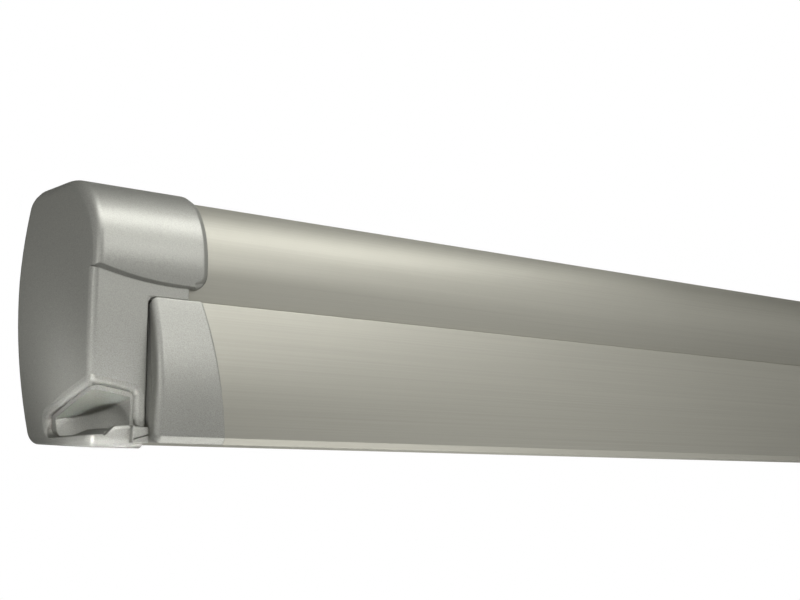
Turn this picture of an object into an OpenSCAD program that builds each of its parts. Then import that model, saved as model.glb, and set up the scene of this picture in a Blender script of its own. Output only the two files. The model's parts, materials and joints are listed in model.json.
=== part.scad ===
// Roll-out awning in a wall cassette.
// A fabric roller and two folding arms sit in a long extruded cassette. The lead rail closes its front
// and carries two telescopic legs. A crank eye in the right end cap drives the roller through a worm.
// X runs along the wall, the wall plane is y = 0 with the front towards -Y, and Z is up.
// The origin is the centre of the wall bolt pattern, at mid-height of the cassette.

/* [Cassette] */
// Length over the two end caps
awning_len = 2600; // [2500:10:3600]
// Height of the cassette with the lead rail closed
case_h = 200; // [196:1:220]
// Distance from the wall to the front corner of the cassette outline
case_front = 130; // [128:0.5:140]
// Space between the wall and the back of the cassette
wall_gap = 12; // [10:0.5:16]
// Sheet thickness of the cassette extrusion
case_wall = 2.2; // [1.6:0.1:3]
// Radius of the bulge along the top front edge
bulge_r = 54; // [46:1:56]
// Depth of the crease below the top
crease_drop = 90.5; // [88:0.5:94]
// How far the front leans in between its top corner and the crease
crease_in = 12; // [10:0.5:14]
// Depth of the lip that stiffens the crease
lip_w = 13; // [8:0.5:14]
// How much higher the cassette floor is than the lead rail's bottom
floor_lift = 3; // [2:0.5:5]
// Radius of the screw channels inside the cassette
channel_r = 4.5; // [4:0.1:5]

/* [End caps] */
// Skin thickness of the end caps
cap_wall = 3; // [2:0.1:4]
// Distance from the wall to the lower front panel of the cap
cap_front = 121; // [119:0.5:124]
// Distance from the wall to the rear edge of the cap
cap_rear = 4; // [2:0.5:6]
// How far the cap hangs below the lead rail
cap_drop = 4; // [3:0.5:6]
// Crown of the side face
crown_h = 16; // [12:0.5:18]
// Width of the crowned border of the side face
crown_in = 45; // [38:1:48]
// Length of the hood along the front
hood_len = 100; // [92:1:110]
// How far the hood stands proud of the cassette
hood_proud = 3.4; // [2.6:0.1:4]
// Height of the hood's lower edge over the crease, at its inner end
hood_lift = 10.5; // [8:0.5:14]
// Rise of the hood's lower edge towards the side
hood_rise = 5; // [0:0.5:7]
// Sweep of the hood's inner edge, seen from above
hood_sweep = 19; // [10:1:24]
// Distance from the crown to the cap's joint with the end plate
cap_len = 54; // [52:0.5:58]
// Thickness of an end plate
plate_t = 5; // [4:0.5:6]

/* [Crank cup] */
// Radius of the upright scoop
scoop_r = 86; // [80:1:90]
// Scoop axis in front of the wall
scoop_y = 118; // [116:0.5:122]
// Scoop axis beyond the crown
scoop_out = 39; // [36:0.5:42]
// Height of the scoop's ceiling at the corner over the cap's bottom
scoop_h = 52; // [48:0.5:56]
// Fall of the ceiling along the front
scoop_fall_x = 9; // [4:0.5:12]
// Fall of the ceiling towards the wall
scoop_fall_y = 17; // [12:0.5:19]
// Height of the lip under the scoop
scoop_lip = 9; // [8:0.5:11]
// Wall of the moulded cup
cup_wall = 2; // [1.5:0.1:2.5]

/* [Lead rail] */
// How far the lead rail stands in front of the cassette corner
rail_proud = 4.2; // [3:0.1:6]
// Depth of the lead rail's upper part
rail_t = 30.5; // [29:0.5:32]
// Wall of the lead rail
rail_wall = 2.2; // [1.8:0.1:2.6]
// Gap between the crease and the top of the lead rail
rail_gap = 1.5; // [1:0.1:2.5]
// Distance from the crown to the end of the lead rail
rail_end_in = 78; // [74:1:84]
// Distance from the crown to the lead rail cap
rail_cap_in = 56; // [56:0.5:60]
// Length of the lead rail cap along its top
rail_cap_len = 44; // [40:1:48]
// Slant of the lead rail cap's inner edge
rail_cap_slant = 8.4; // [5:0.2:10]
// How far the lead rail cap stands proud
rail_cap_proud = 1.5; // [1.2:0.1:2]
// Radius of the hem rod
hem_r = 3.5; // [3:0.1:3.8]

/* [Roller and fabric] */
// Radius of the roller tube
roller_r = 39; // [36:0.5:40]
// Wall of the roller tube
roller_wall = 1.6; // [1.2:0.1:2.5]
// Thickness of the wound fabric
wound_t = 3.8; // [2:0.1:4]
// Thickness of the fabric strip
sheet_t = 0.8; // [0.6:0.1:1]
// Room over the wound fabric
roll_room = 10; // [8:0.5:12]
// Radius of the roller's stub shafts
stub_r = 8; // [7:0.5:9]

/* [Gearbox] */
// Teeth of the worm wheel
wheel_teeth = 14; // [12:1:16]
// Pitch radius of the worm wheel
wheel_r = 23; // [22:0.5:24]
// Pitch radius of the worm
worm_r = 10; // [9.5:0.5:10.5]
// Radius of the worm shaft
worm_shaft_r = 5; // [4:0.5:5.5]
// Distance from the crown to the middle of the worm wheel
wheel_in = 34; // [33:0.5:35]
// Radius of the hole in the crank eye
eye_r = 6; // [5:0.5:7]

/* [Arms] */
// Width of the arm tubes
arm_w = 30; // [26:1:30]
// Height of the arm tubes
arm_h = 46; // [40:1:46]
// Wall of the arm tubes
arm_wall = 2.5; // [2:0.1:3]
// Downward pitch of the open awning
arm_pitch = 5; // [0:0.5:6]
// Distance from the crown to the shoulder pivot
shoulder_in = 160; // [150:1:180]
// Distance from the middle to the elbow pivot
elbow_x = 110; // [80:1:140]
// Radius of the arm pins
pin_r = 8; // [7:0.5:9]
// Radius of the arm knuckles
knuckle_r = 16; // [14:0.5:16]
// Height of the arm knuckles
knuckle_h = 30; // [26:1:30]
// Thickness of the fork ears
ear_t = 5; // [4:0.5:5]
// Thickness of the bracket plates
bracket_t = 3; // [2.5:0.1:3.5]

/* [Legs] */
// Width of the leg tubes
leg_w = 14; // [12:0.5:14.5]
// Height of the leg tubes
leg_h = 20; // [18:0.5:21]
// Wall of the leg tubes
leg_wall = 1.4; // [1.2:0.1:1.6]
// Width of the lane that holds one leg
lane_w = 16.5; // [16.5:0.1:17]
// Length of the outer leg tube from its pivot
leg_len = 1000; // [800:10:1010]
// Distance from the crown to the leg pivot
leg_in = 130; // [128:1:140]
// Radius of the leg pins
leg_pin_r = 4; // [3:0.5:4.5]

/* [Wall mounting] */
// Distance from the crown to an outer wall bracket
bracket_in = 400; // [350:10:500]
// Height of the wall bolts over and under the middle
wall_bolt_z = 66; // [64:0.5:68]
// Radius of the wall bolt holes
wall_bolt_r = 4.5; // [4:0.25:5]
// Width of a wall bracket
wall_bracket_w = 120; // [80:1:160]
// Half height of a wall bracket
wall_bracket_h = 76; // [75:0.5:78]

/* [Hidden] */
$fn = 48;

// Fits and small allowances
run_clear = 0.05;
open_clear = 0.3;
seat_clear = 0.02;
slide_clear = 0.2;
soft_clear = 0.3;
skin_clear = 0.4;
arm_gap = 1.8;
over = 1;
slice = 0.02;
arc_step = 12;
crown_steps = 5;
hood_back = 0.7;
cup_sunk = 1.2;
scoop_corner_in = 9;

// Main levels and lengths
half = awning_len / 2;
top_z = case_h / 2;
bot_z = -case_h / 2;
crease_z = top_z - crease_drop;
hood_z = crease_z + hood_lift;
floor_z = bot_z + floor_lift;
plate_out = half - cap_len;
prof_end = plate_out - plate_t;
rail_end = half - rail_end_in;
case_back = -wall_gap - case_wall;
bracket_pitch = half - bracket_in;

// Lead rail: its front, the leg channel under it and its rear faces
rail_front = case_front + rail_proud;
rail_lean = 3;
brow_in = 14.5;
brow_out = 6.5;
brow_fall = 8;
belly_fall = 63;
belly_r = 150;
bead_h = 8;
bead_cut = 0.8;
bead_depth = 0.4;
rail_top = crease_z - rail_gap;
rail_rear = rail_front - rail_t;
channel_front = rail_front - rail_lean - rail_wall;
channel_rear = channel_front - 2 * lane_w;
rail_low_rear = channel_rear - rail_wall;
mouth_clear = 2.5;
mouth_y = rail_low_rear - mouth_clear;
collar_wall = 0.9;
lever_t = 3.4;
collar_h = leg_h + 2 * collar_wall;
leg_z = bot_z + skin_clear + lever_t + slide_clear + collar_h / 2;
channel_top = leg_z + collar_h / 2 + 1;
rail_step = channel_top + rail_wall;

// Roller, fabric strip and hem rod
roll_r = roller_r + wound_t;
roller_back = 3;
roller_y = -(wall_gap + case_front) / 2 + roller_back;
roller_z = top_z - case_wall - roll_room - roll_r;
sheet_z = roller_z - roll_r - soft_clear - sheet_t / 2;
hem_seat = hem_r + 3;
hem_y = -rail_rear - hem_seat;
fabric_in = 50;
fabric_half = prof_end - fabric_in;
plug_t = 4;
bush_wall = 3;
roller_in = 22;
roller_half = prof_end - roller_in;

// Arms: pivots in the pitched arm plane, measured from the shoulder
tilt_reach = arm_h / 2 * sin(arm_pitch);
shoulder_x = half - shoulder_in;
shoulder_y = case_back - bracket_t - arm_gap - arm_w / 2 - tilt_reach;
wrist_y = -rail_rear + bracket_t + arm_gap + arm_w / 2 + tilt_reach;
link_x = shoulder_x - elbow_x;
link_y = (shoulder_y - wrist_y) / 2 / cos(arm_pitch);
arm_z = (sheet_z + rail_step) / 2 + link_y * sin(arm_pitch);
bracket_half = 35;
bracket_bolt_x = 25;
tube_start = knuckle_r + 10;
elbow_block = knuckle_r + 2;
elbow_tube_end = elbow_block + 12;
plug_len = 30;

// Gearbox: worm wheel on the roller axis, worm upright in front of it
wheel_x = half - wheel_in;
wheel_w = 10;
wheel_tip = wheel_r + 3;
wheel_root = wheel_r - 3.2;
tooth_w = 2.2;
worm_y = roller_y - wheel_r - worm_r;
worm_lead = 2 * 2 * PI * wheel_r / wheel_teeth;
worm_half = 20;
worm_tip = worm_r + 2.3;
worm_root = worm_r - 3.5;
gear_wall = 2.5;
gear_room = 1;
gear_float = 2;
gear_half = wheel_tip + gear_wall;
gear_front = worm_y - worm_tip - gear_wall;
gear_cover_t = 4;
gear_out = wheel_x + worm_tip + gear_room / 2;
eye_drop = 18;
eye_gap = 3;
eye_out = eye_r + 4;
eye_t = 6;
eye_hub_h = 7;
eye_hub_wall = 2;

// Legs: the left leg lies in the front lane, the right leg in the rear lane
leg_x = half - leg_in;
leg_inner_w = leg_w - 2 * leg_wall - 2 * slide_clear;
leg_inner_h = leg_h - 2 * leg_wall - 2 * slide_clear;
leg_eye_r = leg_h / 2;
leg_back_end = 40;
leg_out = 20;
foot_len = 22;
collar_len = 40;
collar_end = 4;
lever_len = 32;
lever_w = 9;
lever_pin_r = 0.9;
lever_ear_t = 2;
lever_z = -collar_h / 2 - slide_clear - lever_t / 2;
foot_plug = 18;
spacer_wall = 3;

// Fasteners
screw_r = 2;
screw_reach = 12;
screw_head_r = 3.8;
screw_head_h = 2.4;
bolt_r = 3;
bolt_head_r = 5;
bolt_head_h = 2.6;
rib_z = 55;
rib_h = 8;
wall_plate_t = 3;
plate_set = 0.6;
seal_h = 7;
seal_z = wall_bracket_h + 2;
seal_squeeze = 0.5;
cap_boss_r = 5;
cap_boss_y = -30;
cap_boss_z = [-76, -10, 74];
channel_in = channel_r - 1.5;
screw_channels = [
    [case_back - channel_in, top_z - 20],
    [case_back - channel_in, floor_z + case_wall + channel_in],
    [-case_front + crease_in + case_wall + channel_in, crease_z + case_wall + channel_in],
    [-mouth_y + case_wall + channel_in, floor_z + case_wall + channel_in]
];

// Height of the scoop's ceiling over a place in plan
function scoop_ceiling(x, y) = bot_z - cap_drop + scoop_h
    - (half - scoop_corner_in - x) * tan(scoop_fall_x) - (y + cap_front) * tan(scoop_fall_y);
eye_ceiling = scoop_ceiling(wheel_x, worm_y);

// Outlines in the y-z plane: corners as [y, z, fillet radius], counter-clockwise
function case_corners() = [
    [-wall_gap, floor_z, 4],
    [-wall_gap, top_z - 4, 10],
    [-case_front, top_z + 2, bulge_r],
    [-case_front + crease_in, crease_z, 0],
    [-mouth_y, crease_z, 0],
    [-mouth_y, floor_z, 0]
];
function cap_corners() = [
    [-cap_rear, bot_z - cap_drop, 8],
    [-cap_rear, top_z - 0.5, 12],
    [-cap_front - 4, top_z + 3, bulge_r - 2],
    [-cap_front, bot_z - cap_drop, 9]
];
function hood_corners() = inset([
    [-wall_gap, crease_z + 4, 0],
    [-wall_gap, top_z - 4, 10],
    [-case_front, top_z + 2, bulge_r],
    [-case_front + crease_in, crease_z + 4, 0]
], -hood_proud);
function rail_corners(proud) = [
    [-rail_low_rear, bot_z + 2.5, 2],
    [-rail_low_rear, rail_step, 1],
    [-rail_rear, rail_step, 0],
    [-rail_rear, rail_top, 2],
    [-rail_front + brow_in, rail_top, brow_fall / 2],
    [-rail_front + brow_out - proud, rail_top - brow_fall, brow_fall],
    [-rail_front - proud, rail_top - belly_fall, belly_r],
    [-rail_front + rail_lean - proud, bot_z, 2]
];

// Outline helpers: arcs at the corners, and outlines moved inwards by d
function unit(v) = v / norm(v);
function turn(u, v) = u[0] * v[1] - u[1] * v[0];
function flat(c) = [c[0], c[1]];
function fillet(p, q, s, r) =
    let (
        u = unit(p - q),
        v = unit(s - q),
        half_angle = acos(u * v) / 2,
        c = q + unit(u + v) * r / sin(half_angle),
        a = q + u * r / tan(half_angle) - c,
        b = q + v * r / tan(half_angle) - c,
        start = atan2(a[1], a[0]),
        sweep = atan2(turn(a, b), a * b),
        steps = max(2, ceil(abs(sweep) / arc_step))
    )
    [for (i = [0:steps]) c + r * [cos(start + sweep * i / steps), sin(start + sweep * i / steps)]];
function rounded(cs) = [
    for (i = [0:len(cs) - 1])
        let (n = len(cs), q = cs[i])
        let (before = flat(cs[(i + n - 1) % n]), after = flat(cs[(i + 1) % n]))
        each (q[2] > 0 ? fillet(before, flat(q), after, q[2]) : [flat(q)])
];
function inset(cs, d) = [
    for (i = [0:len(cs) - 1])
        let (
            n = len(cs),
            q = flat(cs[i]),
            e = unit(q - flat(cs[(i + n - 1) % n])),
            f = unit(flat(cs[(i + 1) % n]) - q),
            m = [-e[1], e[0]],
            k = [-f[1], f[0]],
            p = q + (m + k) * d / (1 + m * k),
            r = cs[i][2]
        )
        [p[0], p[1], r <= 0 ? 0 : turn(e, f) > 0 ? max(r - d, 0) : r + d]
];

// Basic shapes
module along_x(x0, x1, pts) {
    translate([x0, 0, 0])
        rotate([90, 0, 90])
            linear_extrude(height = x1 - x0)
                polygon(pts);
}
module span(lo, hi) {
    translate(lo)
        cube(hi - lo);
}
module bar_x(x0, x1, y, z, r) {
    translate([x0, y, z])
        rotate([0, 90, 0])
            cylinder(r = r, h = x1 - x0);
}
module bar_y(y0, y1, x, z, r) {
    translate([x, y1, z])
        rotate([90, 0, 0])
            cylinder(r = r, h = y1 - y0);
}
module bar_z(z0, z1, x, y, r) {
    translate([x, y, z0])
        cylinder(r = r, h = z1 - z0);
}
// Pieces are drawn at the right end; the left end is its mirror image
module on_side(side) {
    if (side < 0)
        mirror([1, 0, 0])
            children();
    else
        children();
}
module both_sides() {
    for (side = [-1, 1])
        on_side(side)
            children();
}

// Cassette
module cassette_profile() {
    color("#b9b8ad")
        difference() {
            union() {
                difference() {
                    along_x(-prof_end, prof_end, rounded(case_corners()));
                    along_x(-prof_end - over, prof_end + over, rounded(inset(case_corners(), case_wall)));
                    span([-prof_end - over, -mouth_y - over, floor_z + 3 * case_wall],
                         [prof_end + over, -mouth_y + 2 * case_wall, crease_z + 2 * case_wall]);
                    span([-prof_end - over, -case_front + crease_in + lip_w, crease_z - over],
                         [prof_end + over, -mouth_y + over, crease_z + 2 * case_wall]);
                }
                for (c = screw_channels)
                    bar_x(-prof_end, prof_end, c[0], c[1], channel_r);
            }
            for (c = screw_channels)
                bar_x(-prof_end - over, prof_end + over, c[0], c[1], screw_r + seat_clear);
            for (i = [-1:1], z = [-rib_z, rib_z])
                bar_y(case_back - over, -wall_gap + over, i * bracket_pitch, z, bolt_r + slide_clear);
            for (i = [-1:1], z = [-wall_bolt_z, wall_bolt_z])
                bar_y(case_back - over, -wall_gap + over, i * bracket_pitch, z, 2 * wall_bolt_r);
            both_sides()
                shoulder_bolt_places()
                    bar_y(case_back - over, -wall_gap + over, 0, 0, bolt_r + slide_clear);
        }
}

module wall_bracket(i) {
    color("#9a9a96")
        translate([i * bracket_pitch, 0, 0])
            difference() {
                union() {
                    span([-wall_bracket_w / 2, -wall_plate_t, -wall_bracket_h],
                         [wall_bracket_w / 2, 0, wall_bracket_h]);
                    for (z = [-rib_z, rib_z])
                        span([-wall_bracket_w / 2, -wall_gap, z - rib_h / 2],
                             [wall_bracket_w / 2, -wall_plate_t + slice, z + rib_h / 2]);
                }
                for (z = [-wall_bolt_z, wall_bolt_z])
                    bar_y(-wall_plate_t - over, over, 0, z, wall_bolt_r);
                for (z = [-rib_z, rib_z])
                    bar_y(-wall_gap - over, over, 0, z, bolt_r + seat_clear);
            }
}
module wall_bracket_left() { wall_bracket(-1); }
module wall_bracket_middle() { wall_bracket(0); }
module wall_bracket_right() { wall_bracket(1); }

module body_bolt(y_head, y_end) {
    bar_y(y_head - bolt_head_h, y_head, 0, 0, bolt_head_r);
    bar_y(y_head - slice, y_end, 0, 0, bolt_r);
}
module body_bolts() {
    color("#8c8c8c") {
        for (i = [-1:1], z = [-rib_z, rib_z])
            translate([i * bracket_pitch, 0, z])
                body_bolt(case_back, -wall_plate_t);
        both_sides()
            shoulder_bolt_places()
                body_bolt(case_back - bracket_t, -wall_gap + over);
    }
}

module wall_seal() {
    color("#2c2c2c")
        span([-prof_end + hood_len, -wall_gap, seal_z],
             [prof_end - hood_len, -seal_squeeze, seal_z + seal_h]);
}

// End plates and what they carry
module end_plate(side) {
    color("#8f9090")
        on_side(side)
            difference() {
                along_x(prof_end, plate_out, rounded(inset(case_corners(), plate_set)));
                bar_x(prof_end - over, plate_out + over, roller_y, roller_z,
                      stub_r + bush_wall + seat_clear);
                for (c = screw_channels)
                    bar_x(prof_end - over, plate_out + over, c[0], c[1], screw_r + slide_clear);
                for (z = cap_boss_z)
                    bar_x(prof_end - over, plate_out + over, cap_boss_y, z, screw_r + slide_clear);
            }
}
module left_end_plate() { end_plate(-1); }
module right_end_plate() { end_plate(1); }

module roller_bushes() {
    color("#d8d4c4")
        both_sides()
            difference() {
                union() {
                    bar_x(prof_end - bush_wall, prof_end, roller_y, roller_z, stub_r + 2 * bush_wall);
                    bar_x(prof_end - slice, plate_out, roller_y, roller_z, stub_r + bush_wall);
                }
                bar_x(prof_end - bush_wall - over, plate_out + over, roller_y, roller_z,
                      stub_r + run_clear);
            }
}

module end_plate_screws() {
    color("#8c8c8c")
        both_sides() {
            for (c = screw_channels) {
                bar_x(plate_out, plate_out + screw_head_h, c[0], c[1], screw_head_r);
                bar_x(prof_end - screw_reach, plate_out + slice, c[0], c[1], screw_r);
            }
            for (z = cap_boss_z) {
                bar_x(prof_end - screw_head_h, prof_end, cap_boss_y, z, screw_head_r);
                bar_x(prof_end - slice, plate_out + screw_reach, cap_boss_y, z, screw_r);
            }
        }
}

// A body that is straight from x0 on and closes in a crowned side face
module crowned(cs, x0, skin, back) {
    hull() {
        along_x(x0, x0 + slice, rounded(inset(cs, skin)));
        for (k = [0:crown_steps]) {
            a = 90 * k / crown_steps;
            x = half - back - crown_h * (1 - sin(a));
            along_x(x - slice, x, rounded(inset(cs, skin + crown_in * (1 - cos(a)))));
        }
    }
}
module under_hood(lift) {
    translate([half - hood_len, -case_front, hood_z + lift])
        rotate([0, -hood_rise, 0])
            translate([-2 * hood_len, -case_front, -case_h])
                cube([4 * hood_len, 3 * case_front, case_h]);
}
module before_hood() {
    translate([half - hood_len, -case_front, -case_h])
        rotate([0, 0, hood_sweep])
            translate([-3 * hood_len, -case_front, 0])
                cube([3 * hood_len, 4 * case_front, 2 * case_h]);
}
module scoop(grow) {
    intersection() {
        bar_z(bot_z - cap_drop + scoop_lip - grow, 0, half + scoop_out, -scoop_y, scoop_r + grow);
        translate([half - scoop_corner_in, -cap_front, bot_z - cap_drop + scoop_h + grow])
            rotate([-scoop_fall_y, 0, 0])
                rotate([0, -scoop_fall_x, 0])
                    translate([-2 * scoop_r, -2 * scoop_r, -2 * scoop_r])
                        cube([4 * scoop_r, 4 * scoop_r, 2 * scoop_r]);
    }
}
module end_cap(side) {
    color("#a3a29b")
        on_side(side) {
            difference() {
                union() {
                    crowned(cap_corners(), plate_out, 0, 0);
                    difference() {
                        crowned(hood_corners(), half - 2 * hood_len, 0, hood_back);
                        under_hood(0);
                        before_hood();
                    }
                    intersection() {
                        along_x(half - hood_len + 4, plate_out + over,
                                rounded(inset(case_corners(), -skin_clear - 1.5)));
                        span([0, -2 * case_front, crease_z + skin_clear],
                             [half, -case_front / 2, hood_z + cap_wall]);
                    }
                }
                along_x(0, plate_out, rounded(inset(case_corners(), -skin_clear)));
                along_x(plate_out - over, half - crown_h, rounded(inset(cap_corners(), cap_wall)));
                along_x(half - crown_h - over, half - 2 * cap_wall,
                        rounded(inset(cap_corners(), crown_in / 2)));
                difference() {
                    along_x(plate_out - over, half - crown_h, rounded(inset(hood_corners(), cap_wall)));
                    under_hood(cap_wall);
                }
                scoop(cup_wall + slide_clear);
            }
            for (z = cap_boss_z)
                difference() {
                    bar_x(plate_out, half - crown_h + over, cap_boss_y, z, cap_boss_r);
                    bar_x(plate_out - over, plate_out + screw_reach + 2 * over, cap_boss_y, z,
                          screw_r + seat_clear);
                }
        }
}
module left_end_cap() { end_cap(-1); }
module right_end_cap() { end_cap(1); }

module crank_cup(side) {
    color("#94938c")
        on_side(side)
            difference() {
                intersection() {
                    crowned(cap_corners(), plate_out + over, cup_sunk, cup_sunk);
                    scoop(cup_wall);
                }
                scoop(0);
                if (side > 0)
                    bar_z(bot_z, 0, wheel_x, worm_y, worm_shaft_r + 1);
            }
}
module left_crank_cup() { crank_cup(-1); }
module right_crank_cup() { crank_cup(1); }

// Gearbox at the right end, shaped to the hollow of the cap
module gear_block(x0, x1) {
    intersection() {
        span([x0, gear_front, roller_z - gear_half], [x1, roller_y + gear_half, roller_z + gear_half]);
        along_x(x0 - over, x1 + over, rounded(inset(cap_corners(), cap_wall + soft_clear)));
    }
}
module gearbox_housing() {
    worm_reach = worm_half + gear_float;
    color("#3b3c3d")
        difference() {
            gear_block(plate_out, gear_out);
            bar_x(wheel_x - wheel_w / 2 - gear_float, gear_out + over, roller_y, roller_z,
                  wheel_tip + gear_room);
            bar_z(roller_z - worm_reach, roller_z + worm_reach, wheel_x, worm_y, worm_tip + gear_room);
            span([wheel_x - worm_tip - gear_room, worm_y, roller_z - worm_reach],
                 [gear_out + over, roller_y, roller_z + worm_reach]);
            bar_z(roller_z - gear_half - over, roller_z + gear_half + over, wheel_x, worm_y,
                  worm_shaft_r + run_clear);
            bar_x(plate_out - over, wheel_x, roller_y, roller_z, stub_r + over);
            for (c = screw_channels)
                bar_x(plate_out - over, plate_out + screw_head_h + over, c[0], c[1],
                      screw_head_r + slide_clear);
        }
}
module gearbox_cover() {
    color("#4a4b4c")
        gear_block(gear_out, gear_out + gear_cover_t);
}
module worm_wheel() {
    color("#c9b27a")
        translate([wheel_x - wheel_w / 2, roller_y, roller_z])
            rotate([90, 0, 90])
                linear_extrude(height = wheel_w)
                    difference() {
                        union() {
                            circle(r = wheel_root);
                            for (i = [0:wheel_teeth - 1])
                                rotate(360 / wheel_teeth * (i + 0.5))
                                    translate([-wheel_tip, -tooth_w / 2])
                                        square([wheel_tip - wheel_r / 2, tooth_w]);
                        }
                        circle(r = stub_r + seat_clear);
                    }
}
module worm_shaft() {
    thread_angle = 360 * tooth_w / worm_lead;
    lobe = [for (t = [-0.5, 0, 0.5]) worm_tip * [cos(t * thread_angle), sin(t * thread_angle)]];
    root = [for (a = [thread_angle / 2:30:270]) worm_root * [cos(a), sin(a)]];
    color("#8a8d90") {
        bar_z(eye_ceiling - eye_drop / 2, roller_z - worm_half, wheel_x, worm_y, worm_shaft_r);
        bar_z(roller_z + worm_half, roller_z + gear_half - over, wheel_x, worm_y, worm_shaft_r);
        translate([wheel_x, worm_y, roller_z - worm_half])
            linear_extrude(height = 2 * worm_half, twist = -720 * worm_half / worm_lead, slices = 20)
                for (a = [0, 180])
                    rotate([0, 0, a + 90 - 360 * worm_half / worm_lead])
                        polygon(concat(lobe, root));
    }
}
module crank_eye() {
    z_top = eye_ceiling - eye_gap;
    eye_z = z_top - eye_drop;
    color("#7d8083")
        difference() {
            union() {
                bar_z(z_top - eye_hub_h, z_top, wheel_x, worm_y, worm_shaft_r + eye_hub_wall);
                bar_z(eye_z, z_top, wheel_x, worm_y, eye_t / 2);
                bar_y(worm_y - eye_t / 2, worm_y + eye_t / 2, wheel_x, eye_z, eye_out);
            }
            bar_y(worm_y - eye_t, worm_y + eye_t, wheel_x, eye_z, eye_r);
            bar_z(eye_ceiling - eye_drop / 2 - seat_clear, z_top + over, wheel_x, worm_y,
                  worm_shaft_r + seat_clear);
        }
}

// Roller and fabric
module roller_tube() {
    color("#b4b6b8")
        difference() {
            bar_x(-roller_half, roller_half, roller_y, roller_z, roller_r);
            bar_x(-roller_half - over, roller_half + over, roller_y, roller_z, roller_r - roller_wall);
        }
}
module fabric_roll() {
    color("#8e959c")
        difference() {
            bar_x(-fabric_half, fabric_half, roller_y, roller_z, roll_r);
            bar_x(-fabric_half - over, fabric_half + over, roller_y, roller_z, roller_r + seat_clear);
        }
}
module roller_plug(side, stub_end) {
    color("#5a5c5e")
        on_side(side) {
            bar_x(roller_half - plug_len, roller_half + slice, roller_y, roller_z,
                  roller_r - roller_wall - seat_clear);
            bar_x(roller_half, roller_half + plug_t, roller_y, roller_z, roller_r);
            bar_x(roller_half + plug_t - slice, stub_end, roller_y, roller_z, stub_r);
        }
}
module left_roller_plug() { roller_plug(-1, plate_out); }
module right_roller_plug() { roller_plug(1, gear_out - 1); }
module fabric_sheet() {
    color("#8e959c")
        span([-fabric_half, hem_y + hem_r + soft_clear, sheet_z - sheet_t / 2],
             [fabric_half, roller_y, sheet_z + sheet_t / 2]);
}

// Folding arms, drawn from the shoulder towards the elbow along +X in the pitched arm plane
module arm_frame(side) {
    on_side(side)
        translate([shoulder_x, shoulder_y, arm_z])
            rotate([arm_pitch, 0, 0])
                mirror([1, 0, 0])
                    children();
}
module arm_tube(x0, x1, y) {
    difference() {
        span([x0, y - arm_w / 2, -arm_h / 2], [x1, y + arm_w / 2, arm_h / 2]);
        span([x0 - over, y - arm_w / 2 + arm_wall, -arm_h / 2 + arm_wall],
             [x1 + over, y + arm_w / 2 - arm_wall, arm_h / 2 - arm_wall]);
    }
}
module arm_plug(x0, x1, y) {
    gap = arm_wall + seat_clear;
    span([x0, y - arm_w / 2 + gap, -arm_h / 2 + gap], [x1, y + arm_w / 2 - gap, arm_h / 2 - gap]);
}
module arm_knuckle(y, bore_clear) {
    difference() {
        union() {
            bar_z(-knuckle_h / 2, knuckle_h / 2, 0, y, knuckle_r);
            span([0, y - arm_w / 2 + arm_wall, -knuckle_h / 2],
                 [tube_start, y + arm_w / 2 - arm_wall, knuckle_h / 2]);
            arm_plug(tube_start - slice, tube_start + plug_len, y);
        }
        bar_z(-knuckle_h, knuckle_h, 0, y, pin_r + bore_clear);
    }
}
module shoulder_knuckle(side) {
    color("#6f7275")
        arm_frame(side)
            arm_knuckle(0, run_clear);
}
module inner_tube(side) {
    color("#c3c4c0")
        arm_frame(side)
            arm_tube(tube_start, link_x - elbow_tube_end, 0);
}
module elbow_fork(side) {
    ear_z = knuckle_h / 2 + open_clear;
    color("#6f7275")
        arm_frame(side)
            difference() {
                union() {
                    arm_plug(link_x - elbow_tube_end - plug_len, link_x - elbow_tube_end + slice, 0);
                    span([link_x - elbow_tube_end, -arm_w / 2, -arm_h / 2],
                         [link_x - elbow_block, arm_w / 2, arm_h / 2]);
                    for (z = [-ear_z - ear_t, ear_z])
                        translate([0, 0, z]) {
                            bar_z(0, ear_t, link_x, -link_y, knuckle_r);
                            linear_extrude(height = ear_t)
                                polygon([
                                    [link_x - elbow_block - over, arm_w / 2],
                                    [link_x - elbow_block - over, -arm_w / 2],
                                    [link_x, -link_y - knuckle_r],
                                    [link_x, -link_y + knuckle_r]
                                ]);
                        }
                }
                bar_z(-arm_h, arm_h, link_x, -link_y, pin_r + seat_clear);
            }
}
module elbow_pin(side) {
    color("#8c8c8c")
        arm_frame(side)
            bar_z(-arm_h / 2, arm_h / 2, link_x, -link_y, pin_r);
}
module elbow_tongue(side) {
    color("#6f7275")
        arm_frame(side)
            difference() {
                union() {
                    arm_plug(link_x - elbow_tube_end - plug_len, link_x - elbow_tube_end + slice,
                             -2 * link_y);
                    span([link_x - elbow_tube_end, -2 * link_y - arm_w / 2, -arm_h / 2],
                         [link_x - elbow_block, -2 * link_y + arm_w / 2, arm_h / 2]);
                    bar_z(-knuckle_h / 2, knuckle_h / 2, link_x, -link_y, knuckle_r);
                    translate([0, 0, -knuckle_h / 2])
                        linear_extrude(height = knuckle_h)
                            polygon([
                                [link_x - elbow_block - over, -2 * link_y + arm_w / 2],
                                [link_x - elbow_block - over, -2 * link_y - arm_w / 2],
                                [link_x, -link_y - knuckle_r],
                                [link_x, -link_y + knuckle_r]
                            ]);
                }
                bar_z(-arm_h, arm_h, link_x, -link_y, pin_r + run_clear);
            }
}
module outer_tube(side) {
    color("#c3c4c0")
        arm_frame(side)
            arm_tube(tube_start, link_x - elbow_tube_end, -2 * link_y);
}
module wrist_tongue(side) {
    color("#6f7275")
        arm_frame(side)
            arm_knuckle(-2 * link_y, side < 0 ? run_clear : open_clear);
}
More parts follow.
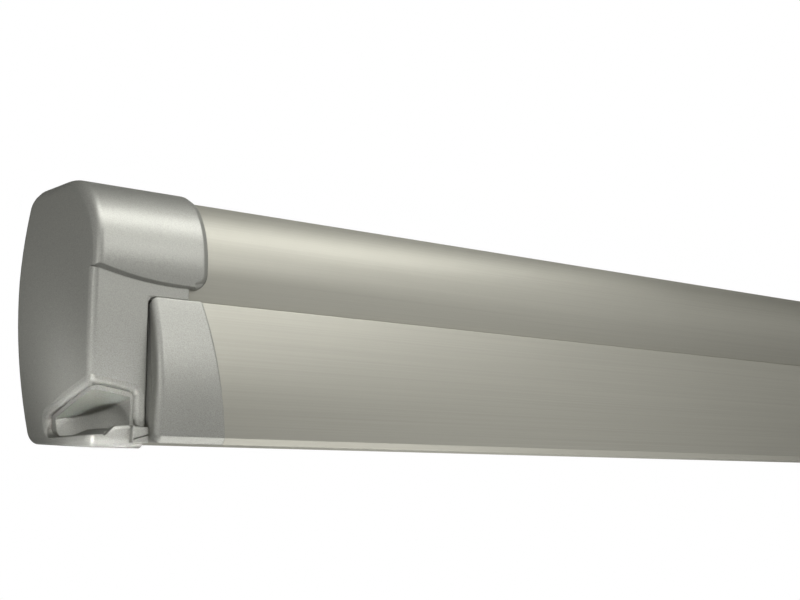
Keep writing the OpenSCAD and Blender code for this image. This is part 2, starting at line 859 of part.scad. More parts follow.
// Ears on each side of a knuckle at y, running to a plate in the direction of sign
module bracket_ears(y, sign) {
    ear_z = knuckle_h / 2 + open_clear;
    difference() {
        for (z = [-ear_z - ear_t, ear_z])
            translate([0, 0, z]) {
                bar_z(0, ear_t, 0, y, knuckle_r);
                span([-knuckle_r, min(y, y + sign * 3 * knuckle_r), 0],
                     [knuckle_r, max(y, y + sign * 3 * knuckle_r), ear_t]);
            }
        bar_z(-arm_h, arm_h, 0, y, pin_r + seat_clear);
    }
}
module shoulder_bolt_places() {
    for (x = [-bracket_bolt_x, bracket_bolt_x], z = [-1, 1])
        translate([shoulder_x + x, 0, arm_z + z * (arm_h / 2 + tilt_reach + bolt_head_r + over)])
            children();
}
module shoulder_bracket(side) {
    plate_h = arm_h / 2 + tilt_reach + 2 * bolt_head_r + 2 * over;
    color("#55585b") {
        difference() {
            arm_frame(side)
                bracket_ears(0, 1);
            span([-2 * half, case_back, -case_h], [2 * half, case_h, case_h]);
        }
        on_side(side)
            difference() {
                span([shoulder_x - bracket_half, case_back - bracket_t, arm_z - plate_h],
                     [shoulder_x + bracket_half, case_back, arm_z + plate_h]);
                shoulder_bolt_places()
                    bar_y(case_back - bracket_t - over, case_back + over, 0, 0, bolt_r + seat_clear);
            }
    }
}
module shoulder_pins() {
    color("#8c8c8c")
        for (side = [-1, 1])
            arm_frame(side)
                bar_z(-arm_h / 2, arm_h / 2, 0, 0, pin_r);
}
module wrist_bracket(side) {
    wrist_z = arm_z - 2 * link_y * sin(arm_pitch);
    plate_h = arm_h / 2 + 2 * over;
    color("#55585b") {
        difference() {
            arm_frame(side)
                bracket_ears(-2 * link_y, -1);
            span([-2 * half, -case_h - rail_rear, -case_h], [2 * half, -rail_rear, case_h]);
        }
        on_side(side)
            span([shoulder_x - bracket_half, -rail_rear, max(wrist_z - plate_h, rail_step + slide_clear)],
                 [shoulder_x + bracket_half, -rail_rear + bracket_t, wrist_z + plate_h]);
    }
}
module wrist_pins() {
    color("#8c8c8c")
        for (side = [-1, 1])
            arm_frame(side)
                bar_z(-arm_h / 2, arm_h / 2, 0, -2 * link_y, pin_r);
}
module left_shoulder_knuckle() { shoulder_knuckle(-1); }
module right_shoulder_knuckle() { shoulder_knuckle(1); }
module left_inner_tube() { inner_tube(-1); }
module right_inner_tube() { inner_tube(1); }
module left_elbow_fork() { elbow_fork(-1); }
module right_elbow_fork() { elbow_fork(1); }
module left_elbow_pin() { elbow_pin(-1); }
module right_elbow_pin() { elbow_pin(1); }
module left_elbow_tongue() { elbow_tongue(-1); }
module right_elbow_tongue() { elbow_tongue(1); }
module left_outer_tube() { outer_tube(-1); }
module right_outer_tube() { outer_tube(1); }
module left_wrist_tongue() { wrist_tongue(-1); }
module right_wrist_tongue() { wrist_tongue(1); }
module left_shoulder_bracket() { shoulder_bracket(-1); }
module right_shoulder_bracket() { shoulder_bracket(1); }
module left_wrist_bracket() { wrist_bracket(-1); }
module right_wrist_bracket() { wrist_bracket(1); }

// Lead rail
module lead_rail_profile() {
    groove_r = hem_r + soft_clear;
    slot_half = sheet_t / 2 + soft_clear;
    bead_z = bot_z + bead_h;
    color("#b9b8ad")
        difference() {
            along_x(-rail_end, rail_end, rounded(rail_corners(0)));
            difference() {
                along_x(-rail_end - over, rail_end + over, rounded(inset(rail_corners(0), rail_wall)));
                span([-half, -2 * rail_front, bot_z - over], [half, 0, rail_step]);
                span([-half, hem_y - groove_r - rail_wall, sheet_z - groove_r - rail_wall],
                     [half, 0, crease_z]);
            }
            span([-half, -channel_front, bot_z - over], [half, -channel_rear, channel_top]);
            bar_x(-half, half, hem_y, sheet_z, groove_r);
            span([-half, hem_y, sheet_z - slot_half], [half, -rail_rear + over, sheet_z + slot_half]);
            span([-half, -2 * rail_front, bead_z],
                 [half, -rail_front + rail_lean + bead_depth, bead_z + bead_cut]);
            both_sides()
                bar_y(-channel_front - rail_wall / 2, -rail_low_rear + over, leg_x, leg_z,
                      leg_pin_r + seat_clear);
        }
}
module rail_cap(side) {
    cap_x = half - rail_cap_in;
    plug_y = hem_y - hem_r - 2 * rail_wall;
    color("#a3a29b")
        on_side(side)
            difference() {
                union() {
                    intersection() {
                        difference() {
                            along_x(rail_end - 2 * rail_cap_len, cap_x,
                                    rounded(rail_corners(rail_cap_proud)));
                            along_x(0, rail_end, rounded(rail_corners(slide_clear)));
                            span([0, -channel_front, bot_z - over], [rail_end, 0, rail_top + over]);
                        }
                        translate([cap_x - rail_cap_len, -2 * rail_front, rail_top])
                            rotate([0, rail_cap_slant, 0])
                                translate([0, 0, -case_h])
                                    cube([case_h, 2 * rail_front, 2 * case_h]);
                    }
                    intersection() {
                        along_x(rail_end - plug_len / 2, rail_end + over,
                                rounded(inset(rail_corners(0), rail_wall + slide_clear)));
                        span([0, -2 * rail_front, rail_step + slide_clear], [half, plug_y, rail_top]);
                    }
                }
                along_x(rail_end + rail_wall, cap_x - rail_wall,
                        rounded(inset(rail_corners(0), rail_wall)));
            }
}
module left_rail_cap() { rail_cap(-1); }
module right_rail_cap() { rail_cap(1); }
module hem_rod() {
    color("#d9d9d2")
        bar_x(-fabric_half, fabric_half, hem_y, sheet_z, hem_r);
}

// Legs: each lies along its lane under the lead rail, pivoted near the end of the rail
function lane_y(side) = -channel_front + lane_w * (side < 0 ? 0.5 : 1.5);
module leg_frame(side) {
    on_side(side)
        translate([leg_x, lane_y(side), leg_z])
            mirror([1, 0, 0])
                children();
}
module leg_pins() {
    color("#8c8c8c")
        for (side = [-1, 1])
            on_side(side) {
                spare = lane_y(-side);
                bar_y(-channel_front - rail_wall / 2, -rail_low_rear, leg_x, leg_z, leg_pin_r);
                bar_y(spare - lane_w / 2 + slide_clear, spare + lane_w / 2 - slide_clear, leg_x, leg_z,
                      leg_pin_r + spacer_wall);
            }
}
module leg_outer_tube(side) {
    color("#c3c4c0")
        leg_frame(side)
            difference() {
                union() {
                    bar_y(-leg_w / 2, leg_w / 2, 0, 0, leg_eye_r);
                    span([0, -leg_w / 2, -leg_h / 2], [leg_len, leg_w / 2, leg_h / 2]);
                }
                bar_y(-leg_w, leg_w, 0, 0, leg_pin_r + run_clear);
                span([leg_eye_r, -leg_w / 2 + leg_wall, -leg_h / 2 + leg_wall],
                     [leg_len + over, leg_w / 2 - leg_wall, leg_h / 2 - leg_wall]);
            }
}
module leg_collar(side) {
    collar_w = leg_w + 2 * collar_wall;
    color("#3a3b3d")
        leg_frame(side) {
            difference() {
                span([leg_len - collar_len, -collar_w / 2, -collar_h / 2],
                     [leg_len + collar_end, collar_w / 2, collar_h / 2]);
                span([leg_len - collar_len - over, -leg_w / 2 - seat_clear, -leg_h / 2 - seat_clear],
                     [leg_len, leg_w / 2 + seat_clear, leg_h / 2 + seat_clear]);
                span([leg_len - over, -leg_w / 2 + leg_wall, -leg_h / 2 + leg_wall],
                     [leg_len + collar_end + over, leg_w / 2 - leg_wall, leg_h / 2 - leg_wall]);
            }
            for (y = [-lever_w / 2 - slide_clear - lever_ear_t, lever_w / 2 + slide_clear])
                span([leg_len - collar_len, y, lever_z - lever_t / 2],
                     [leg_len - collar_len + lever_t, y + lever_ear_t, -collar_h / 2 + slice]);
            bar_y(-lever_w / 2 - lever_ear_t, lever_w / 2 + lever_ear_t, leg_len - collar_len + lever_t / 2,
                  lever_z, lever_pin_r);
        }
}
module leg_lever(side) {
    color("#c8452f")
        leg_frame(side)
            translate([leg_len - collar_len + lever_t / 2, 0, lever_z])
                difference() {
                    union() {
                        bar_y(-lever_w / 2, lever_w / 2, 0, 0, lever_t / 2);
                        span([0, -lever_w / 2, -lever_t / 2], [lever_len, lever_w / 2, lever_t / 2]);
                    }
                    bar_y(-lever_w, lever_w, 0, 0, lever_pin_r + run_clear);
                }
}
module leg_inner_tube(side) {
    color("#cfd0cc")
        leg_frame(side)
            difference() {
                span([leg_back_end, -leg_inner_w / 2, -leg_inner_h / 2],
                     [leg_len + leg_out, leg_inner_w / 2, leg_inner_h / 2]);
                span([leg_back_end - over, -leg_inner_w / 2 + leg_wall, -leg_inner_h / 2 + leg_wall],
                     [leg_len + leg_out + over, leg_inner_w / 2 - leg_wall, leg_inner_h / 2 - leg_wall]);
            }
}
module leg_foot(side) {
    color("#2f3032")
        leg_frame(side) {
            foot_x = leg_len + leg_out;
            plug_w = leg_inner_w - 2 * leg_wall - 2 * seat_clear;
            plug_h = leg_inner_h - 2 * leg_wall - 2 * seat_clear;
            span([foot_x, -leg_w / 2, -leg_h / 2], [foot_x + foot_len, leg_w / 2, leg_h / 2]);
            span([foot_x - foot_plug, -plug_w / 2, -plug_h / 2], [foot_x + over, plug_w / 2, plug_h / 2]);
        }
}
module left_leg_outer_tube() { leg_outer_tube(-1); }
module right_leg_outer_tube() { leg_outer_tube(1); }
module left_leg_collar() { leg_collar(-1); }
module right_leg_collar() { leg_collar(1); }
module left_leg_lever() { leg_lever(-1); }
module right_leg_lever() { leg_lever(1); }
module left_leg_inner_tube() { leg_inner_tube(-1); }
module right_leg_inner_tube() { leg_inner_tube(1); }
module left_leg_foot() { leg_foot(-1); }
module right_leg_foot() { leg_foot(1); }

cassette_profile();
left_end_cap();
right_end_cap();
left_crank_cup();
right_crank_cup();
left_end_plate();
right_end_plate();
roller_bushes();
gearbox_housing();
gearbox_cover();
wall_bracket_left();
wall_bracket_middle();
wall_bracket_right();
body_bolts();
end_plate_screws();
wall_seal();
left_shoulder_bracket();
right_shoulder_bracket();
shoulder_pins();
roller_tube();
fabric_roll();
left_roller_plug();
right_roller_plug();
worm_wheel();
worm_shaft();
crank_eye();
left_shoulder_knuckle();
left_inner_tube();
left_elbow_fork();
left_elbow_pin();
left_elbow_tongue();
left_outer_tube();
left_wrist_tongue();
right_shoulder_knuckle();
right_inner_tube();
right_elbow_fork();
right_elbow_pin();
right_elbow_tongue();
right_outer_tube();
right_wrist_tongue();
lead_rail_profile();
left_rail_cap();
right_rail_cap();
left_wrist_bracket();
right_wrist_bracket();
wrist_pins();
hem_rod();
leg_pins();
fabric_sheet();
left_leg_outer_tube();
left_leg_collar();
left_leg_lever();
left_leg_inner_tube();
left_leg_foot();
right_leg_outer_tube();
right_leg_collar();
right_leg_lever();
right_leg_inner_tube();
right_leg_foot();
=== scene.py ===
"""Looks of a roll-out awning in a wall cassette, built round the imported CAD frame.

The scene is in metres, in the frame's own axes: X along the wall, the wall at y = 0 with the front towards -Y,
Z up. Sizes of the object are in millimetres. End pieces are drawn at the right end (+X) and mirrored for the
left end.
"""

import json
import math

import bmesh
import bpy
from mathutils import Matrix, Vector
from mathutils.geometry import delaunay_2d_cdt


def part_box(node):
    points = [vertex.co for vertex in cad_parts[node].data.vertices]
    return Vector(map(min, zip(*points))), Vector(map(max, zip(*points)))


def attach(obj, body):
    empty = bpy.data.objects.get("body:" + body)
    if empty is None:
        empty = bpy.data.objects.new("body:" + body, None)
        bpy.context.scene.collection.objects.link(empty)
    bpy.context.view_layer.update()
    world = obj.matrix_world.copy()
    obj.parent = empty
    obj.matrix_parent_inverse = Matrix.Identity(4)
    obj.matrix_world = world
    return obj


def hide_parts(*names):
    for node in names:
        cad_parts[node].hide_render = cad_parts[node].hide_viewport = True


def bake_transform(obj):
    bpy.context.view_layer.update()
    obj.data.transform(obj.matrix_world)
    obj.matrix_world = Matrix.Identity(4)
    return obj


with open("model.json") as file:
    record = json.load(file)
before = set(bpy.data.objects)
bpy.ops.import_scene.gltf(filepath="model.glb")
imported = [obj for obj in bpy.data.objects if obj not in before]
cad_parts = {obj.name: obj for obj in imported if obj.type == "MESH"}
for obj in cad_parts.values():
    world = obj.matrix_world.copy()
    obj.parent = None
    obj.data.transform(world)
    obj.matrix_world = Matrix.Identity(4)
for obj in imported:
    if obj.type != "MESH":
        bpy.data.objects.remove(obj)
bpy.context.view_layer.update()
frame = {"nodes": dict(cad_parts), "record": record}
MM = 0.001

# Sizes as in the part's source (LEG_ROOM is the rail's channel for the legs)
HALF = 1300
TOP_Z, BOT_Z, FLOOR_Z = 100, -100, -97
CASE_FRONT, WALL_GAP, CASE_WALL = 130, 12, 2.2
CASE_FOOT_R, CASE_BACK_R, CASE_BACK_DROP = 4, 10, 4
CREASE_Z, CREASE_IN, LIP_W = 9.5, 12, 13
LEAN_TOP_Z = TOP_Z + 2
MOUTH_Y = 91.3
PROF_END, PLATE_OUT = 1241, 1246
SCREW_R, CHANNEL_R, CHANNEL_IN, CHANNEL_DROP = 2, 4.5, 3, 20
CAP_REAR, CAP_DROP, CAP_WALL, SKIN_CLEAR = 4, 4, 3, 0.4
SCOOP_Y, SCOOP_LIP, SCOOP_CORNER_IN, SCOOP_FALL_X, SCOOP_FALL_Y = 118, 9, 9, 9, 17
CAP_FOOT_Z = BOT_Z - CAP_DROP
LIP_Z = CAP_FOOT_Z + SCOOP_LIP
CUP_WALL = 2
RAIL_REAR, RAIL_LOW_REAR, RAIL_STEP, RAIL_END = 103.7, 93.8, -71, 1222
LEG_ROOM_FRONT, LEG_ROOM_REAR, LEG_ROOM_TOP = 129, 96, -73.2
RAIL_CAP_X, RAIL_CAP_LEN, RAIL_CAP_SLANT, RAIL_CAP_PROUD = 1244, 44, 8.4, 1.5
HEM_Y, HEM_R, SHEET_Z = -110.2, 3.5, 1.5
ROLLER_Y, ROLLER_Z, ROLLER_R, ROLL_R, FABRIC_HALF = -68, 45, 39, 42.8, 1191
WORM_X, WORM_Y, WORM_SHAFT_R = 1266, -101, 5

# Cassette and lead rail as the photograph shows them: a round bulge on top, a bowed rail with a sloping bead
BULGE_R, BULGE_RISE = 62, 4
EXTRUSION_R = 0.8
RAIL_TOP, RAIL_TOP_R, RAIL_FOOT_Z, RAIL_FOOT_R, RAIL_STEP_R = 9.2, 2, BOT_Z + 2.5, 2, 1
BROW_Y, BROW_R = 121.5, 1.2
BELLY_Y, BELLY_Z, BELLY_R = 142.9, -41.1, 182
BEAD_Y, BEAD_TOP, BEAD_R, BEAD_FOOT_Y = 133.8, -95, 0.4, 129.6
LEG_ROOM_R, SHARP_R = 0.4, 0.2
GROOVE_R, SLOT_HALF, GROOVE_STEPS = HEM_R + 0.3, 0.7, 24

# End cap: a barrel-shaped side that flattens towards the front, where it leans in, with a soft edge round it
CAP_FRONT, CAP_RISE, CAP_BULGE_R = 121.3, 2.5, BULGE_R - 2
CAP_BACK_FOOT_Z, CAP_BACK_R, CAP_FOOT_R = -98, 14, 9
DOME_R_REAR, DOME_R_FRONT, DOME_LEAN = 440, 2500, 0.07
CREST_REAR_Z, CREST_FRONT_Z = 15, -5
EDGE_R_LOW, EDGE_R_TOP, EDGE_LOW_Z = 6, 9, 30

# Hood over the cassette's end, with a chamfered inner edge: steps of (depth, how far the step stands out)
HOOD_PROUD, HOOD_RISE, HOOD_FOOT_Z, HOOD_SWEEP, HOOD_BACK = 5, 1.3, 8, 8, 0.03
HOOD_LIP = ((0, 0.2), (4.4, 4.2), (5.2, 4.75), (6.2, HOOD_PROUD))
HOOD_IN_X, HOOD_CORNER_R, HOOD_FOOT_R = 1196.5, 12, 1
HOOD_LOW_X, HOOD_LOW_Z, HOOD_CURVE_X, HOOD_CURVE_Z, HOOD_TAPER = 1215, 18.2, 70, 8.4, 0.65

# Sill under the hood, its round corner with the front panel, and the tab at the panel's foot
SILL_X, SILL_LOW_Z, SILL_H = 1211.5, 9.8, 23.4
WEB_R, WEB_LAP, WEB_BACK = 7, 0.5, 0.3
TAB_IN_X, TAB_OUT_X, TAB_PROUD, TAB_R = 1244.5, 1258, 5, 1.5
TAB_LOW_Z, TAB_H = CAP_FOOT_Z + 4, 12
SLIT_W, SLIT_FALL, SLIT_BACK, SLIT_LEAD, SLIT_STOP = 0.9, 17, 0.5, 5, 1

# Scoop for the crank in the cap's lower corner: flared rim, ramp on the floor, and the cup that lines it
SCOOP_R, SCOOP_OUT, SCOOP_H, SCOOP_FILLET = 89, 36.5, 53, 8
SCOOP_JACKET, JACKET_FILLET = 8, 7
RAMP_FOOT_X, RAMP_HEAD_X, RAMP_HEAD_H, RAMP_END_H = 1277, 1269, 5, 7
RIM_R, RIM_COLLAR, RIM_STEPS = 6, 3, 6
RIM_OVER_LIP, RIM_OFF_PLATE = 0.2, 0.5
CUP_RIM_IN, CUP_OFF_PLATE, CUP_CLEAR, CUP_FLOOR, CUP_FILLET = 5, 1, 0.2, 1, 1.5
HUB_HOLE_R = 2 * WORM_SHAFT_R

# Rail cap: rounded outer end, bevelled inner edge
RAIL_CAP_END_R, RAIL_CAP_END_STEPS = 5.5, 6
RAIL_CAP_LIP, RAIL_CAP_LIP_STEPS = 2.25, 4
RAIL_CAP_FIT, RAIL_CAP_BACK = 0.05, 3

# Cloth
CLOTH_T, SPIRAL_STEPS = 0.5, 48
STRIP_ROWS, STRIP_COLUMNS = 60, 48

# Fineness of the visual meshes, and how far cutters and joined bodies run past each other
ARC_STEP, LEAST_R = 4, 0.05
EDGE_STEPS = 8
CAP_FILL, HOOD_FILL, DOME_GRID = 14, 36, 9
SCOOP_TURNS, SCOOP_SEGMENTS, WEB_STEPS, HOOD_CUTS = 96, 5, 12, 40
LAP = 1

# Material index of an end cap's faces, by which the scoop's rim is found
SKIN_FACE, SCOOP_FACE = 0, 1


# Flat outlines: corners are (y, z, fillet radius)
def fillet(before, at, after, radius):
    """Points of the arc that rounds a corner."""
    u = (before - at).normalized()
    v = (after - at).normalized()
    half_angle = u.angle(v) / 2
    centre = at + (u + v).normalized() * radius / math.sin(half_angle)
    first = at + u * radius / math.tan(half_angle) - centre
    last = at + v * radius / math.tan(half_angle) - centre
    start = math.atan2(first.y, first.x)
    sweep = math.atan2(first.x * last.y - first.y * last.x, first.dot(last))
    steps = max(3, math.ceil(abs(math.degrees(sweep)) / ARC_STEP))
    angles = [start + sweep * i / steps for i in range(steps + 1)]
    return [centre + radius * Vector((math.cos(a), math.sin(a))) for a in angles]


def rounded(corners, fill=0):
    """The outline's points, with fill points spread along each straight edge."""
    parts = []
    for i, (y, z, radius) in enumerate(corners):
        at = Vector((y, z))
        before = Vector(corners[i - 1][:2])
        after = Vector(corners[(i + 1) % len(corners)][:2])
        parts.append(fillet(before, at, after, radius) if radius > 0 else [at])
    points = []
    for part, following in zip(parts, parts[1:] + parts[:1]):
        points += part
        points += [part[-1].lerp(following[0], k / (fill + 1)) for k in range(1, fill + 1)]
    return points


def inset(corners, depth, soften=0.0):
    """The outline moved inwards; soften rounds its corners more the deeper it lies."""
    moved = []
    for i, (y, z, radius) in enumerate(corners):
        at = Vector((y, z))
        e = (at - Vector(corners[i - 1][:2])).normalized()
        f = (Vector(corners[(i + 1) % len(corners)][:2]) - at).normalized()
        m, k = Vector((-e.y, e.x)), Vector((-f.y, f.x))
        place = at + (m + k) * depth / (1 + m.dot(k))
        if radius > 0:
            outward = e.x * f.y - e.y * f.x > 0
            radius = max(radius - depth, LEAST_R) if outward else radius + depth
            radius = math.hypot(radius, soften * depth)
        moved.append((place.x, place.y, radius))
    return moved


def facing_in(corners):
    """The same corners in the order for which inset() moves inwards."""
    area = sum(a[0] * b[1] - b[0] * a[1] for a, b in zip(corners, corners[1:] + corners[:1]))
    return corners if area > 0 else corners[::-1]


def circle(a, b, radius, turns=40):
    """Points round a centre (a, b)."""
    angles = [2 * math.pi * i / turns for i in range(turns)]
    return [Vector((a + radius * math.cos(t), b + radius * math.sin(t))) for t in angles]


def quarter_turn(steps):
    return [math.pi / 2 * k / steps for k in range(steps + 1)]


def inside(p, polygon):
    """Whether a flat point lies within a closed outline."""
    hits = 0
    for a, b in zip(polygon, polygon[1:] + polygon[:1]):
        if (a.y > p.y) != (b.y > p.y) and p.x < a.x + (b.x - a.x) * (p.y - a.y) / (b.y - a.y):
            hits += 1
    return hits % 2 == 1


CASE = facing_in([
    (-WALL_GAP, FLOOR_Z, CASE_FOOT_R), (-WALL_GAP, TOP_Z - CASE_BACK_DROP, CASE_BACK_R),
    (-CASE_FRONT, TOP_Z + BULGE_RISE, BULGE_R), (-CASE_FRONT + CREASE_IN, CREASE_Z, 0),
    (-MOUTH_Y, CREASE_Z, 0), (-MOUTH_Y, FLOOR_Z, 0)])
CAP = facing_in([
    (-CAP_REAR, CAP_BACK_FOOT_Z, CAP_FOOT_R), (-CAP_REAR, TOP_Z + CAP_RISE, CAP_BACK_R),
    (-CAP_FRONT, TOP_Z + CAP_RISE, CAP_BULGE_R), (-CAP_FRONT, CAP_FOOT_Z, CAP_FOOT_R)])


def hood_outline(proud):
    """The cassette's outline above the crease, grown by proud at the front and by half of that on top."""
    lean = CREASE_IN / (LEAN_TOP_Z - CREASE_Z)
    top = TOP_Z + HOOD_RISE - proud / 2
    return inset(facing_in([
        (-WALL_GAP, HOOD_FOOT_Z, HOOD_FOOT_R), (-WALL_GAP, top, CASE_BACK_R), (-CASE_FRONT, top, BULGE_R),
        (-CASE_FRONT + lean * (LEAN_TOP_Z - HOOD_FOOT_Z), HOOD_FOOT_Z, HOOD_FOOT_R)]), -proud)


def rail_outline(proud):
    """The lead rail's outline: a bowed front between its brow and a sloping bead at the bottom.

    It grows by proud at the front and by a fifth of that on top.
    """
    top = RAIL_TOP + proud / 5
    return facing_in([
        (-RAIL_LOW_REAR, RAIL_FOOT_Z, RAIL_FOOT_R), (-RAIL_LOW_REAR, RAIL_STEP, RAIL_STEP_R),
        (-RAIL_REAR, RAIL_STEP, 0), (-RAIL_REAR, top, RAIL_TOP_R), (-BROW_Y - proud, top, BROW_R),
        (-BELLY_Y - proud, BELLY_Z, BELLY_R), (-BEAD_Y - proud, BEAD_TOP, BEAD_R),
        (-BEAD_FOOT_Y - proud, BOT_Z, SHARP_R)])


# Meshes
def ring(x, outline):
    return [Vector((x, p.x, p.y)) for p in outline]


def mesh_object(name, bm):
    bmesh.ops.recalc_face_normals(bm, faces=bm.faces)
    mesh = bpy.data.meshes.new(name)
    bm.to_mesh(mesh)
    bm.free()
    obj = bpy.data.objects.new(name, mesh)
    bpy.context.scene.collection.objects.link(obj)
    return obj


def loft_into(bm, rings, closed=True):
    """Skins rings of equal length; positions are in millimetres. Returns the rows of vertices."""
    rows = [[bm.verts.new(p * MM) for p in r] for r in rings]
    count = len(rows[0])
    for a, b in zip(rows, rows[1:]):
        for i in range(count if closed else count - 1):
            j = (i + 1) % count
            bm.faces.new((a[i], a[j], b[j], b[i]))
    return rows


def solid(name, rings):
    """A closed body through its rings."""
    bm = bmesh.new()
    rows = loft_into(bm, rings)
    bm.faces.new(rows[0])
    bm.faces.new(rows[-1])
    return mesh_object(name, bm)


def along_x(name, outline, x0, x1):
    """A prism over points (y, z)."""
    return solid(name, [ring(x, outline) for x in (x0, x1)])


def along_y(name, outline, y0, y1):
    """A prism over pairs (x, z)."""
    return solid(name, [[Vector((x, y, z)) for x, z in outline] for y in (y0, y1)])


def along_z(name, outline, z0, z1):
    """A prism over points (x, y)."""
    return solid(name, [[Vector((p.x, p.y, z)) for p in outline] for z in (z0, z1)])


def block(name, low, high):
    bm = bmesh.new()
    bmesh.ops.create_cube(bm, size=1)
    low, high = Vector(low), Vector(high)
    for v in bm.verts:
        v.co = Vector([(l + h) / 2 + c * (h - l) for l, h, c in zip(low, high, v.co)]) * MM
    return mesh_object(name, bm)


def cut(obj, place, normal):
    """Removes what lies on the normal's side of a plane and closes the cut."""
    bm = bmesh.new()
    bm.from_mesh(obj.data)
    geometry = bm.verts[:] + bm.edges[:] + bm.faces[:]
    made = bmesh.ops.bisect_plane(bm, geom=geometry, plane_co=Vector(place) * MM, plane_no=normal,
                                  clear_outer=True, dist=1e-7)
    edges = [e for e in made["geom_cut"] if isinstance(e, bmesh.types.BMEdge)]
    bmesh.ops.contextual_create(bm, geom=edges)
    bmesh.ops.recalc_face_normals(bm, faces=bm.faces)
    bm.to_mesh(obj.data)
    bm.free()
    return obj


def settle(obj):
    """Replaces the mesh by what its modifiers make of it."""
    bpy.context.view_layer.update()
    evaluated = obj.evaluated_get(bpy.context.evaluated_depsgraph_get())
    mesh = bpy.data.meshes.new_from_object(evaluated)
    obj.modifiers.clear()
    obj.data = mesh
    return obj


def boolean(obj, other, operation):
    """Unites, cuts or intersects with another body, which is used up."""
    modifier = obj.modifiers.new(operation.lower(), "BOOLEAN")
    modifier.operation = operation
    modifier.solver = "MANIFOLD"
    modifier.object = other
    settle(obj)
    bpy.data.objects.remove(other)
    return obj


def bevelled(obj, width, segments=3, angle=40):
    modifier = obj.modifiers.new("bevel", "BEVEL")
    modifier.width = width * MM
    modifier.segments = segments
    modifier.limit_method = "ANGLE"
    modifier.angle_limit = math.radians(angle)
    modifier.use_clamp_overlap = True
    return settle(obj)


def smooth(obj, angle=32):
    """Smooth shading that keeps edges sharper than angle."""
    obj.data.shade_smooth()
    obj.data.set_sharp_from_angle(angle=math.radians(angle))
    weighted = obj.modifiers.new("weighted", "WEIGHTED_NORMAL")
    weighted.keep_sharp = True
    return obj


def on_side(obj, side):
    """Mirrors a piece of the right end for the left end."""
    if side < 0:
        obj.data.transform(Matrix.Scale(-1, 4, (1, 0, 0)))
        obj.data.flip_normals()
    return obj


def mark(obj, index):
    """Gives all faces the same index of two empty material slots, so that a later cut can be told apart."""
    for _ in (SKIN_FACE, SCOOP_FACE):
        obj.data.materials.append(None)
    for face in obj.data.polygons:
        face.material_index = index
    return obj


# Domed side of an end cap
def side_x(y, z):
    """How far out the side lies at a place of the section."""
    back = -CAP_REAR - y
    share = back / (CAP_FRONT - CAP_REAR)
    crest = CREST_REAR_Z + (CREST_FRONT_Z - CREST_REAR_Z) * share
    bend = (1 - share) / DOME_R_REAR + share / DOME_R_FRONT
    return HALF - (z - crest) ** 2 * bend / 2 - DOME_LEAN * back


def edge_r(z):
    """Radius of the edge round the domed side, which is softer towards the top."""
    share = min(max((z - EDGE_LOW_Z) / (TOP_Z - EDGE_LOW_Z), 0), 1)
    return EDGE_R_LOW + (EDGE_R_TOP - EDGE_R_LOW) * share


def staggered_grid(outline, limit):
    """Points over an outline in staggered rows, as far as they lie within the limit."""
    low = Vector((min(p.x for p in outline), min(p.y for p in outline)))
    high = Vector((max(p.x for p in outline), max(p.y for p in outline)))
    across, up = (math.ceil(reach / DOME_GRID) for reach in high - low)
    grid = [low + Vector((DOME_GRID * (i + (j % 2) / 2), DOME_GRID * j))
            for i in range(across) for j in range(up)]
    return [p for p in grid if inside(p, limit)]


def domed(name, outline, starts, skin, back, fill):
    """A body that runs from its starting rings to the domed side, over a rounded edge.

    Its outline lies skin inside the given one, and its side lies back inside the domed side.
    """
    edge = rounded(inset(outline, skin), fill)
    deep = rounded(inset(outline, skin + EDGE_R_TOP, soften=0.2), fill)
    radii = [edge_r(p.y) for p in edge]
    rings = list(starts)
    for a in quarter_turn(EDGE_STEPS):
        section = [p.lerp(q, r * (1 - math.cos(a)) / EDGE_R_TOP) for p, q, r in zip(edge, deep, radii)]
        rings.append([Vector((side_x(p.x, p.y) - back - r * (1 - math.sin(a)), p.x, p.y))
                      for p, r in zip(section, radii)])
    bm = bmesh.new()
    rows = loft_into(bm, rings)
    bm.faces.new(rows[0])
    limit = [p.lerp(q, (r + DOME_GRID / 2) / EDGE_R_TOP) for p, q, r in zip(edge, deep, radii)]
    count = len(section)
    border = [(i, (i + 1) % count) for i in range(count)]
    spots = section + staggered_grid(section, limit)
    points, _, faces, origin, _, _ = delaunay_2d_cdt(spots, border, [], 1, 1e-4)
    made = []
    for p, source in zip(points, origin):
        if source and source[0] < count:
            made.append(rows[-1][source[0]])
        else:
            made.append(bm.verts.new(Vector((side_x(p.x, p.y) - back, p.x, p.y)) * MM))
    for face in faces:
        bm.faces.new([made[i] for i in face])
    return mesh_object(name, bm)


# Materials
EDGE_TINT = (0.12, 0.12, 0.12, 1)
CHAMPAGNE = (0.40, 0.392, 0.34)
SILVER = (0.37, 0.37, 0.338)


def shader(name):
    material = bpy.data.materials.new(name)
    material.use_nodes = True
    return material, material.node_tree, material.node_tree.nodes["Principled BSDF"]


def node(tree, kind, **sockets):
    """A new node with values on its sockets, whose names have underscores for blanks."""
    made = tree.nodes.new(kind)
    for key, value in sockets.items():
        made.inputs[key.replace("_", " ")].default_value = value
    return made


def stretched(tree, scale):
    """Object coordinates times scale, so that a texture can be drawn out along an axis."""
    coordinates = tree.nodes.new("ShaderNodeTexCoord")
    mapping = node(tree, "ShaderNodeMapping", Scale=scale)
    tree.links.new(coordinates.outputs["Object"], mapping.inputs["Vector"])
    return mapping.outputs["Vector"]


def noise(tree, scale, detail=2.0, roughness=0.5):
    made = node(tree, "ShaderNodeTexNoise", Scale=1.0, Detail=detail, Roughness=roughness)
    tree.links.new(stretched(tree, scale), made.inputs["Vector"])
    return made.outputs["Fac"]


